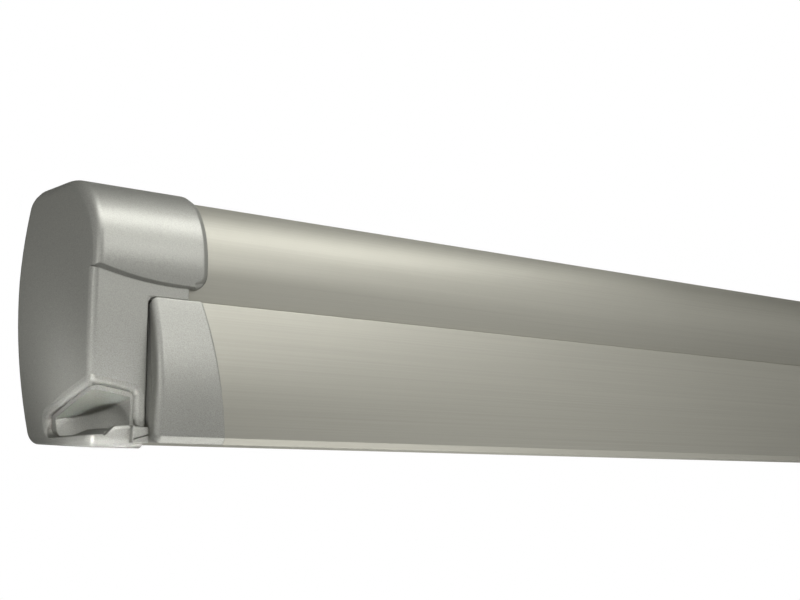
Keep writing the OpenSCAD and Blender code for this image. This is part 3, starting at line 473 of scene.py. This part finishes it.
def ramp(tree, factor, low, high, a, b):
    """Colour a at low to colour b at high."""
    made = tree.nodes.new("ShaderNodeValToRGB")
    made.color_ramp.elements[0].position = low
    made.color_ramp.elements[0].color = (*a, 1)
    made.color_ramp.elements[1].position = high
    made.color_ramp.elements[1].color = (*b, 1)
    tree.links.new(factor, made.inputs["Fac"])
    return made.outputs["Color"]


def spread(tree, factor, low, high):
    """A 0 to 1 factor as values from low to high."""
    made = node(tree, "ShaderNodeMapRange", To_Min=low, To_Max=high)
    tree.links.new(factor, made.inputs["Value"])
    return made.outputs["Result"]


def bump(tree, bsdf, height, distance, rounding=0.0):
    """Bump from a height, over edges that are rounded."""
    made = node(tree, "ShaderNodeBump", Strength=1.0, Distance=distance)
    tree.links.new(height, made.inputs["Height"])
    if rounding:
        edges = node(tree, "ShaderNodeBevel", Radius=rounding)
        edges.samples = 4
        tree.links.new(edges.outputs["Normal"], made.inputs["Normal"])
    tree.links.new(made.outputs["Normal"], bsdf.inputs["Normal"])


def shade(colour, factor):
    return tuple(min(1.0, c * factor) for c in colour)


def satin_metal(bsdf, metallic):
    """Part metal, part matt, without a clear gloss and dark where it is seen along the surface."""
    bsdf.inputs["Metallic"].default_value = metallic
    bsdf.inputs["Specular IOR Level"].default_value = 0.0
    bsdf.inputs["Specular Tint"].default_value = EDGE_TINT


def anodised(name, colour, metallic, roughness, streak=(3, 900, 900)):
    """Satin anodised extrusion: fine die lines along X and a slow drift of tone."""
    material, tree, bsdf = shader(name)
    satin_metal(bsdf, metallic)
    lines = noise(tree, streak, 3.0)
    drift = noise(tree, (6, 40, 40))
    tone = ramp(tree, lines, 0.3, 0.7, shade(colour, 0.96), shade(colour, 1.03))
    tree.links.new(tone, bsdf.inputs["Base Color"])
    tree.links.new(spread(tree, drift, roughness - 0.04, roughness + 0.04), bsdf.inputs["Roughness"])
    bump(tree, bsdf, lines, 0.00002, 0.0005)
    return material


def metallic_paint(name, colour, metallic, roughness):
    """Sprayed silver moulding: fine flake, slight orange peel."""
    material, tree, bsdf = shader(name)
    satin_metal(bsdf, metallic)
    flake = noise(tree, (1400, 1400, 1400), 1.0)
    tone = ramp(tree, flake, 0.3, 0.7, shade(colour, 0.86), shade(colour, 1.12))
    tree.links.new(tone, bsdf.inputs["Base Color"])
    tree.links.new(spread(tree, flake, roughness - 0.08, roughness + 0.08), bsdf.inputs["Roughness"])
    bump(tree, bsdf, noise(tree, (700, 700, 700), 2.0), 0.00006, 0.0011)
    return material


def plain(name, colour, metallic, roughness, grain=900, vary=0.1, depth=0.00004):
    """Moulded, cast or rubber surface with an even grain."""
    material, tree, bsdf = shader(name)
    bsdf.inputs["Metallic"].default_value = metallic
    speck = noise(tree, (grain, grain, grain), 3.0)
    drift = noise(tree, (14, 14, 14), 2.0)
    tone = ramp(tree, drift, 0.25, 0.75, shade(colour, 1 - vary), shade(colour, 1 + vary))
    tree.links.new(tone, bsdf.inputs["Base Color"])
    tree.links.new(spread(tree, speck, roughness - 0.06, roughness + 0.06), bsdf.inputs["Roughness"])
    bump(tree, bsdf, speck, depth, 0.0006)
    return material


def cloth(name, colour):
    """Coated acrylic cloth: a fine plain weave."""
    material, tree, bsdf = shader(name)
    bsdf.inputs["Specular IOR Level"].default_value = 0.0
    place = stretched(tree, (350, 350, 350))
    weave = tree.nodes.new("ShaderNodeMath")
    weave.operation = "MULTIPLY"
    for socket, direction in enumerate("XY"):
        threads = node(tree, "ShaderNodeTexWave", Scale=1.0, Distortion=0.6, Detail=1.0)
        threads.bands_direction = direction
        tree.links.new(place, threads.inputs["Vector"])
        tree.links.new(threads.outputs["Fac"], weave.inputs[socket])
    height = weave.outputs["Value"]
    tone = ramp(tree, height, 0.0, 0.6, shade(colour, 0.8), shade(colour, 1.1))
    tree.links.new(tone, bsdf.inputs["Base Color"])
    tree.links.new(spread(tree, noise(tree, (9, 9, 9)), 0.72, 0.86), bsdf.inputs["Roughness"])
    bump(tree, bsdf, height, 0.00015)
    return material


# Colour, share of metal, roughness and, where they differ from the usual, grain or die lines
LOOKS = {
    "anodised_profile": anodised("anodised_profile", CHAMPAGNE, 0.3, 0.46),
    "cap_moulding": metallic_paint("cap_moulding", SILVER, 0.3, 0.38),
    "cup_moulding": metallic_paint("cup_moulding", shade(SILVER, 0.95), 0.3, 0.38),
    "plate_alloy": anodised("plate_alloy", (0.55, 0.55, 0.54), 0.8, 0.45, (900, 900, 4)),
    "bush_plastic": plain("bush_plastic", (0.72, 0.69, 0.58), 0.0, 0.5),
    "gearbox_plastic": plain("gearbox_plastic", (0.03, 0.03, 0.032), 0.0, 0.55),
    "steel": plain("steel", (0.55, 0.55, 0.56), 0.95, 0.32, 1500, 0.08, 0.00001),
    "seal_rubber": plain("seal_rubber", (0.02, 0.02, 0.02), 0.0, 0.8),
    "roller_alloy": anodised("roller_alloy", (0.6, 0.6, 0.6), 0.9, 0.4),
    "awning_fabric": cloth("awning_fabric", (0.36, 0.38, 0.40)),
    "plug_plastic": plain("plug_plastic", (0.05, 0.05, 0.055), 0.0, 0.5),
    "gear_brass": plain("gear_brass", (0.62, 0.45, 0.19), 0.95, 0.35, 1500, 0.08, 0.00001),
    "hem_plastic": plain("hem_plastic", (0.72, 0.72, 0.69), 0.0, 0.5),
    "arm_casting": plain("arm_casting", (0.22, 0.225, 0.23), 0.3, 0.5, 1200, 0.08, 0.00008),
    "arm_tube": anodised("arm_tube", (0.62, 0.62, 0.6), 0.7, 0.38),
    "leg_plastic": plain("leg_plastic", (0.035, 0.035, 0.037), 0.0, 0.5),
    "lever_plastic": plain("lever_plastic", (0.12, 0.12, 0.125), 0.0, 0.45),
    "foot_rubber": plain("foot_rubber", (0.025, 0.025, 0.025), 0.0, 0.85),
}


def place_piece(obj, body, slot, *nodes):
    """A finished piece: its material, the body that it rides on and the CAD nodes that it stands for."""
    obj.data.materials.clear()
    obj.data.materials.append(LOOKS[slot])
    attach(obj, body)
    if nodes:
        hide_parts(*nodes)
    return obj


for part in frame["record"]["subparts"]:
    mesh = frame["nodes"][part["node"]].data
    mesh.materials.clear()
    mesh.materials.append(LOOKS[part["material_slot"]])


# Cassette extrusion: one wall all round, with a lip at the crease and an upturn at the mouth
wall = inset(CASE, CASE_WALL)
lip_y = -CASE_FRONT + CREASE_IN + LIP_W
upturn_y, upturn_z = -MOUTH_Y + CASE_WALL, FLOOR_Z + 3 * CASE_WALL
case_section = rounded([
    (*CASE[5][:2], EXTRUSION_R), *CASE[:3], (*CASE[3][:2], EXTRUSION_R), (lip_y, CREASE_Z, EXTRUSION_R),
    (lip_y, CREASE_Z + CASE_WALL, EXTRUSION_R), *wall[3::-1], (upturn_y, FLOOR_Z + CASE_WALL, 0),
    (upturn_y, upturn_z, EXTRUSION_R), (-MOUTH_Y, upturn_z, EXTRUSION_R)])
channel_off = CASE_WALL + CHANNEL_IN
SCREW_CHANNELS = [
    (-WALL_GAP - channel_off, TOP_Z - CHANNEL_DROP),
    (-WALL_GAP - channel_off, FLOOR_Z + channel_off),
    (-CASE_FRONT + CREASE_IN + channel_off, CREASE_Z + channel_off),
    (-MOUTH_Y + channel_off, FLOOR_Z + channel_off)]
bm = bmesh.new()
rows = loft_into(bm, [ring(x, case_section) for x in (-PROF_END, PROF_END)])
for row in rows:
    bm.faces.new(row)
for y, z in SCREW_CHANNELS:
    bore, outer = ([ring(x, circle(y, z, r)) for x in (-PROF_END, PROF_END)] for r in (SCREW_R, CHANNEL_R))
    loft_into(bm, [bore[0], *outer, bore[1]])
cassette = smooth(mesh_object("cassette_extrusion", bm))
place_piece(cassette, "cassette", "anodised_profile", "cassette_profile")

# Lead rail: closed front, leg channel from below, hem groove in its rear, bead along the bottom
groove_start = math.asin(SLOT_HALF / GROOVE_R)
groove_sweep = 2 * math.pi - 2 * groove_start
groove_turns = [groove_start + groove_sweep * i / GROOVE_STEPS for i in range(GROOVE_STEPS + 1)]
groove = [(HEM_Y + GROOVE_R * math.cos(a), SHEET_Z + GROOVE_R * math.sin(a), 0) for a in groove_turns]
outline = rail_outline(0)
rail_section = rounded([
    *outline[:3], (-RAIL_REAR, SHEET_Z - SLOT_HALF, SHARP_R), *groove[::-1],
    (-RAIL_REAR, SHEET_Z + SLOT_HALF, SHARP_R), *outline[3:], (-LEG_ROOM_FRONT, BOT_Z, SHARP_R),
    (-LEG_ROOM_FRONT, LEG_ROOM_TOP, LEG_ROOM_R), (-LEG_ROOM_REAR, LEG_ROOM_TOP, LEG_ROOM_R),
    (-LEG_ROOM_REAR, RAIL_FOOT_Z, LEG_ROOM_R)])
rail = smooth(along_x("lead_rail_extrusion", rail_section, -RAIL_END, RAIL_END))
place_piece(rail, "lead_rail", "anodised_profile", "lead_rail_profile")


# End caps and what sits in them
def scoop(name, grow, fillet_r, floor):
    """The upright scoop under its sloping ceiling, with a ramp on its floor."""
    outline = circle(HALF + SCOOP_OUT, -SCOOP_Y, SCOOP_R + grow, SCOOP_TURNS)
    body = along_z(name, outline, floor, 0)
    slope_x = -math.tan(math.radians(SCOOP_FALL_X))
    slope_y = math.tan(math.radians(SCOOP_FALL_Y))
    cut(body, (HALF - SCOOP_CORNER_IN, -CAP_FRONT, CAP_FOOT_Z + SCOOP_H + grow),
        Vector((slope_x, slope_y, 1)).normalized())
    bevelled(body, fillet_r, SCOOP_SEGMENTS)
    far_x = PLATE_OUT - SCOOP_R
    profile = [(x, floor + rise) for x, rise in (
        (far_x, -LAP), (RAMP_FOOT_X + LAP, -LAP), (RAMP_FOOT_X, 0), (RAMP_HEAD_X, RAMP_HEAD_H),
        (PLATE_OUT, RAMP_END_H), (far_x, RAMP_END_H))]
    boolean(body, along_y("ramp", profile, -2 * CAP_FRONT, 0), "DIFFERENCE")
    return mark(body, SCOOP_FACE)


def on_rim(p):
    """Whether a place on the scoop's edge flares: above the lip and clear of the end plate."""
    return p.z > LIP_Z + RIM_OVER_LIP and p.x > PLATE_OUT + RIM_OFF_PLATE


def flare_rim(obj):
    """A rounded lip from the scoop's rim into it, with a short collar that ends in the cup's wall."""
    bm = bmesh.new()
    bm.from_mesh(obj.data)
    skin, wall, rim = {}, {}, []
    for edge in bm.edges:
        kinds = sorted(face.material_index for face in edge.link_faces)
        if kinds == [SKIN_FACE, SCOOP_FACE] and on_rim((edge.verts[0].co + edge.verts[1].co) / (2 * MM)):
            rim.append(edge)
            for face in edge.link_faces:
                normals = wall if face.material_index == SCOOP_FACE else skin
                for v in edge.verts:
                    normals[v] = normals.get(v, Vector()) + face.normal
    rows = {}
    for v, up in skin.items():
        up = up.normalized()
        reach = RIM_R * MM * min(1, (v.co.z / MM - LIP_Z) / (2 * RIM_R))
        inward = (wall[v] - up * wall[v].dot(up)).normalized()
        places = [v.co + reach * (inward * math.sin(a) - up * (1 - math.cos(a)))
                  for a in quarter_turn(RIM_STEPS)]
        places.append(places[-1] - up * RIM_COLLAR * MM)
        rows[v] = [bm.verts.new(place) for place in places]
    for edge in rim:
        a, b = edge.verts
        for k in range(RIM_STEPS + 1):
            face = bm.faces.new((rows[a][k], rows[b][k], rows[b][k + 1], rows[a][k + 1]))
            face.normal_update()
            if face.normal.dot(skin[a] + wall[a]) < 0:
                face.normal_flip()
    bm.to_mesh(obj.data)
    bm.free()
    return obj


def hood_ring(depth, proud):
    """One step of the hood's inner edge: swept back, with a rounded lower corner."""
    slope = math.tan(math.radians(HOOD_SWEEP))
    radius = HOOD_CORNER_R - depth
    points = []
    for p in rounded(hood_outline(proud), HOOD_FILL):
        below = min(max(HOOD_LOW_Z + HOOD_CORNER_R - p.y, 0), radius)
        x = HOOD_IN_X + HOOD_CORNER_R - math.sqrt(radius ** 2 - below ** 2)
        points.append(Vector((x - slope * (p.x + CASE_FRONT), p.x, p.y)))
    return points


def under_hood(name):
    """What is cut away below the hood's curved lower edge, which is chamfered at the front."""
    start, end, out = HOOD_IN_X - CASE_FRONT, HALF + 60, 20
    rings = []
    for i in range(HOOD_CUTS + 1):
        x = start + (end - start) * i / HOOD_CUTS
        low = HOOD_LOW_Z + HOOD_CURVE_Z * (max(x - HOOD_LOW_X, 0) / HOOD_CURVE_X) ** 2
        rings.append([Vector((x, y, z)) for y, z in (
            (CASE_FRONT, low - TOP_Z), (CASE_FRONT, low), (-CAP_FRONT, low),
            (-CAP_FRONT - out, low + out * HOOD_TAPER), (-CAP_FRONT - out, low - TOP_Z))])
    return solid(name, rings)


def sill(name):
    """The strip of the cap's front that runs on under the hood."""
    strip = along_x(name, rounded(CAP), SILL_X, PLATE_OUT + LAP)
    band = block("band", (0, -2 * CASE_FRONT, SILL_LOW_Z), (HALF, -CASE_FRONT / 2, SILL_LOW_Z + SILL_H))
    return boolean(strip, band, "INTERSECT")


def corner_web(name):
    """Rounds the inner corner between panel and sill, into which the rail cap's round corner closes."""
    x, z = PLATE_OUT - WEB_R, SILL_LOW_Z - WEB_R
    out_x, out_z = PLATE_OUT + WEB_LAP, SILL_LOW_Z + WEB_LAP
    arc = [(x + WEB_R * math.cos(a), z + WEB_R * math.sin(a)) for a in quarter_turn(WEB_STEPS)]
    outline = [*arc, (x, out_z), (out_x, out_z), (out_x, z)]
    return along_y(name, outline, -CAP_FRONT + WEB_BACK, -CAP_FRONT + CAP_WALL)


def foot_tab(name):
    """The small tab at the cap's foot beside the rail, with its slanted slit."""
    tab = bevelled(block(name, (TAB_IN_X, -CAP_FRONT - TAB_PROUD, TAB_LOW_Z),
                         (TAB_OUT_X, -CAP_FRONT + TAB_PROUD, TAB_LOW_Z + TAB_H)), TAB_R)
    slope = math.tan(math.radians(SLIT_FALL))
    start, end = TAB_IN_X - SLIT_LEAD, TAB_OUT_X - SLIT_STOP
    slit = [(x, TAB_LOW_Z + TAB_H / 2 - slope * (x - TAB_IN_X) + up)
            for x, up in ((start, 0), (end, 0), (end, SLIT_W), (start, SLIT_W))]
    cutter = along_y("slit", slit, -CAP_FRONT - 2 * TAB_PROUD, -CAP_FRONT - SLIT_BACK)
    return boolean(tab, cutter, "DIFFERENCE")


def end_cap(side):
    """Hollow cap over the cassette's end, with its hood and the scoop for the crank."""
    cap = domed("cap", CAP, [ring(PLATE_OUT, rounded(CAP, CAP_FILL))], 0, 0, CAP_FILL)
    for piece in (sill("sill"), corner_web("web"), foot_tab("tab")):
        boolean(cap, piece, "UNION")
    lip = [hood_ring(*step) for step in HOOD_LIP]
    hood = domed("hood", hood_outline(HOOD_PROUD), lip, 0, HOOD_BACK, HOOD_FILL)
    boolean(hood, under_hood("under"), "DIFFERENCE")
    boolean(cap, hood, "UNION")
    boolean(cap, along_x("case", rounded(inset(CASE, -SKIN_CLEAR)), 0, PLATE_OUT), "DIFFERENCE")
    opening = ring(PLATE_OUT - LAP, rounded(inset(CAP, CAP_WALL), CAP_FILL))
    hollow = domed("hollow", CAP, [opening], CAP_WALL, CAP_WALL, CAP_FILL)
    boolean(hollow, scoop("jacket", SCOOP_JACKET, JACKET_FILLET, LIP_Z - SCOOP_JACKET), "DIFFERENCE")
    boolean(cap, hollow, "DIFFERENCE")
    boolean(mark(cap, SKIN_FACE), scoop("scoop", 0, SCOOP_FILLET, LIP_Z), "DIFFERENCE")
    return on_side(flare_rim(cap), side)


def crank_cup(side):
    """Lining of the scoop; at the right end it has a hole for the crank eye's hub."""
    opening = ring(PLATE_OUT + CUP_OFF_PLATE, rounded(inset(CAP, CUP_RIM_IN), CAP_FILL))
    cup = domed("cup", CAP, [opening], CUP_RIM_IN, CUP_RIM_IN, CAP_FILL)
    boolean(cup, scoop("outside", -CUP_CLEAR, SCOOP_FILLET - CUP_CLEAR, LIP_Z + CUP_CLEAR), "INTERSECT")
    boolean(cup, scoop("inside", -RIM_R - CUP_WALL, CUP_FILLET, LIP_Z + CUP_FLOOR), "DIFFERENCE")
    if side > 0:
        hole = along_z("hole", circle(WORM_X, WORM_Y, HUB_HOLE_R), LIP_Z + 2 * CUP_FLOOR, 0)
        boolean(cup, hole, "DIFFERENCE")
    return on_side(cup, side)


def rail_cap(side):
    """Sleeve over the rail's end: slanted inner edge with a small bevel, rounded outer end."""
    slope = math.tan(math.radians(RAIL_CAP_SLANT))
    rings = []
    for a in quarter_turn(RAIL_CAP_LIP_STEPS):
        x = RAIL_CAP_X - RAIL_CAP_LEN + RAIL_CAP_LIP * (1 - math.cos(a))
        section = rounded(rail_outline(RAIL_CAP_PROUD * math.sin(a)))
        rings.append([Vector((x + (p.y - RAIL_TOP) * slope, p.x, p.y)) for p in section])
    for a in quarter_turn(RAIL_CAP_END_STEPS):
        depth = RAIL_CAP_END_R * (1 - math.cos(a))
        section = rounded(inset(rail_outline(RAIL_CAP_PROUD), depth, soften=0.3))
        rings.append(ring(RAIL_CAP_X - RAIL_CAP_END_R * (1 - math.sin(a)), section))
    cap = solid("rail_cap", rings)
    boolean(cap, along_x("rail", rounded(rail_outline(RAIL_CAP_FIT)), 0, RAIL_END), "DIFFERENCE")
    behind = block("behind", (0, -BROW_Y + RAIL_CAP_BACK, 2 * BOT_Z), (RAIL_END, 0, 2 * TOP_Z))
    boolean(cap, behind, "DIFFERENCE")
    return on_side(cap, side)


for side, end in ((-1, "left"), (1, "right")):
    for make, body, slot, cad in ((end_cap, "cassette", "cap_moulding", "end_cap"),
                                  (crank_cup, "cassette", "cup_moulding", "crank_cup"),
                                  (rail_cap, "lead_rail", "cap_moulding", "rail_cap")):
        shell = smooth(make(side))
        shell.name = f"{end}_{cad}_shell"
        place_piece(shell, body, slot, f"{end}_{cad}")

# Fabric: the wound turns on the roller and the strip that runs to the lead rail
turns = (ROLL_R - ROLLER_R) / CLOTH_T
steps = int(turns * SPIRAL_STEPS)
spiral = []
for i in range(steps + 1):
    a = 2 * math.pi * turns * i / steps
    r = ROLLER_R + CLOTH_T / 2 + CLOTH_T * a / (2 * math.pi) * (1 - 1 / turns)
    spiral.append(Vector((ROLLER_Y + r * math.sin(a), ROLLER_Z + r * math.cos(a))))
bm = bmesh.new()
loft_into(bm, [ring(x, spiral) for x in (-FABRIC_HALF, 0, FABRIC_HALF)], closed=False)
roll = mesh_object("fabric_wound", bm)
roll.data.shade_smooth()
place_piece(roll, "roller", "awning_fabric", "fabric_roll")

strip_low, strip_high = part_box("fabric_sheet")
columns = [-FABRIC_HALF + 2 * FABRIC_HALF * i / STRIP_COLUMNS for i in range(STRIP_COLUMNS + 1)]
strip = []
for i in range(STRIP_ROWS + 1):
    y = strip_high.y + (strip_low.y - strip_high.y) * i / STRIP_ROWS
    strip.append([Vector((x, y / MM, SHEET_Z)) for x in columns])
bm = bmesh.new()
loft_into(bm, strip, closed=False)
sheet = mesh_object("fabric_strip", bm)
sheet.data.shade_smooth()
sheet.data.materials.append(LOOKS["awning_fabric"])
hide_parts("fabric_sheet")
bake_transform(sheet)

# Stage: a pale floor at ground level under the awning, in a white world (metres from here on)
GROUND_Z, GROUND_SIZE = -2.35, 30
FLOOR_GLOW, SKY_FILL, SKY_SEEN = 0.6, 0.05, 1.0


def seen_rays(tree):
    """1 for rays that see the background: from the camera, in gloss and through glass."""
    path = tree.nodes.new("ShaderNodeLightPath")
    total = path.outputs["Is Camera Ray"]
    for name in ("Is Glossy Ray", "Is Transmission Ray"):
        either = tree.nodes.new("ShaderNodeMath")
        either.operation = "MAXIMUM"
        tree.links.new(total, either.inputs[0])
        tree.links.new(path.outputs[name], either.inputs[1])
        total = either.outputs["Value"]
    return total


bm = bmesh.new()
bmesh.ops.create_grid(bm, x_segments=4, y_segments=4, size=GROUND_SIZE / 2)
floor = mesh_object("floor", bm)
floor.location.z = GROUND_Z
floor_look, tree, bsdf = shader("floor")
bsdf.inputs["Base Color"].default_value = (0.9, 0.9, 0.9, 1)
bsdf.inputs["Roughness"].default_value = 0.9
bsdf.inputs["Emission Color"].default_value = (1, 1, 1, 1)
tree.links.new(spread(tree, seen_rays(tree), 0.0, FLOOR_GLOW), bsdf.inputs["Emission Strength"])
floor.data.materials.append(floor_look)

world = bpy.data.worlds.new("studio")
bpy.context.scene.world = world
world.use_nodes = True
tree = world.node_tree
background = tree.nodes["Background"]
background.inputs["Color"].default_value = (1, 1, 1, 1)
tree.links.new(spread(tree, seen_rays(tree), SKY_FILL, SKY_SEEN), background.inputs["Strength"])


def lamp(name, place, target, size, watts, fan=180, diffuse=True):
    """A soft box aimed at its target; fan is its light's angle, and without diffuse it gives highlights only."""
    data = bpy.data.lights.new(name, "AREA")
    data.shape = "RECTANGLE"
    data.size, data.size_y = size
    data.energy = watts
    data.spread = math.radians(fan)
    obj = bpy.data.objects.new(name, data)
    obj.location = place
    obj.rotation_mode = "QUATERNION"
    obj.rotation_quaternion = (Vector(target) - Vector(place)).to_track_quat("-Z", "Y")
    obj.visible_camera = False
    obj.visible_diffuse = diffuse
    bpy.context.scene.collection.objects.link(obj)


# The left end, as in the photograph
lamp("key", (-1.72, -0.72, 0.22), (-1.2, -0.12, 0.0), (0.25, 0.5), 0.75)
lamp("top", (-0.98, -0.33, 0.58), (-0.98, -0.11, 0.05), (1.0, 0.26), 6.8, diffuse=False)
lamp("front", (-0.95, -0.7, 0.34), (-0.95, -0.13, 0.0), (0.5, 0.3), 0.8, fan=100)
lamp("under", (-0.8, -0.17, -0.6), (-0.8, -0.13, -0.1), (0.6, 0.3), 2.8)
lamp("scoop", (-1.55, -0.42, -0.42), (-1.285, -0.1, -0.075), (0.06, 0.06), 0.02, fan=12)
lamp("side", (-2.2, 0.35, 0.1), (-1.3, -0.06, 0.0), (0.5, 0.8), 0.95)
lamp("edge", (-2.09, -0.51, 0.13), (-1.29, -0.12, 0.0), (0.15, 0.6), 1.8, diffuse=False)
lamp("lip", (-1.3, -0.35, -0.5), (-1.275, -0.115, -0.103), (0.02, 0.02), 0.004, fan=9)
# The open cloth, the right end, the back, and the lead rail when it is out
lamp("cloth", (0.0, -1.2, 1.6), (0.0, -1.2, 0.0), (2.6, 0.7), 11.0, fan=72)
lamp("right side", (2.2, 0.2, 0.3), (1.3, -0.06, 0.0), (0.5, 0.8), 0.95)
lamp("right", (0.9, -0.9, 0.75), (0.9, -0.1, 0.0), (1.2, 0.4), 3.0, fan=100)
lamp("back", (0.0, 1.3, 0.35), (0.0, 0.0, 0.0), (2.4, 0.5), 8.0)
lamp("far", (0.4, -3.6, 1.1), (0.3, -1.9, -0.1), (2.0, 0.6), 4.0, fan=90)

# Camera: the photograph's view, from in front of the left end and a little below it
CAMERA_PLACE = (-1.708, -0.986, -0.1376)
HEADING, PITCH = math.radians(39.2), math.radians(8.53)
data = bpy.data.cameras.new("camera")
data.lens, data.sensor_width = 58.5, 36
data.clip_start = 0.05
camera = bpy.data.objects.new("camera", data)
camera.location = CAMERA_PLACE
look = Vector((math.cos(PITCH) * math.sin(HEADING), math.cos(PITCH) * math.cos(HEADING), math.sin(PITCH)))
camera.rotation_mode = "QUATERNION"
camera.rotation_quaternion = look.to_track_quat("-Z", "Y")
bpy.context.scene.collection.objects.link(camera)
bpy.context.scene.camera = camera
bpy.context.scene.view_settings.view_transform = "Standard"
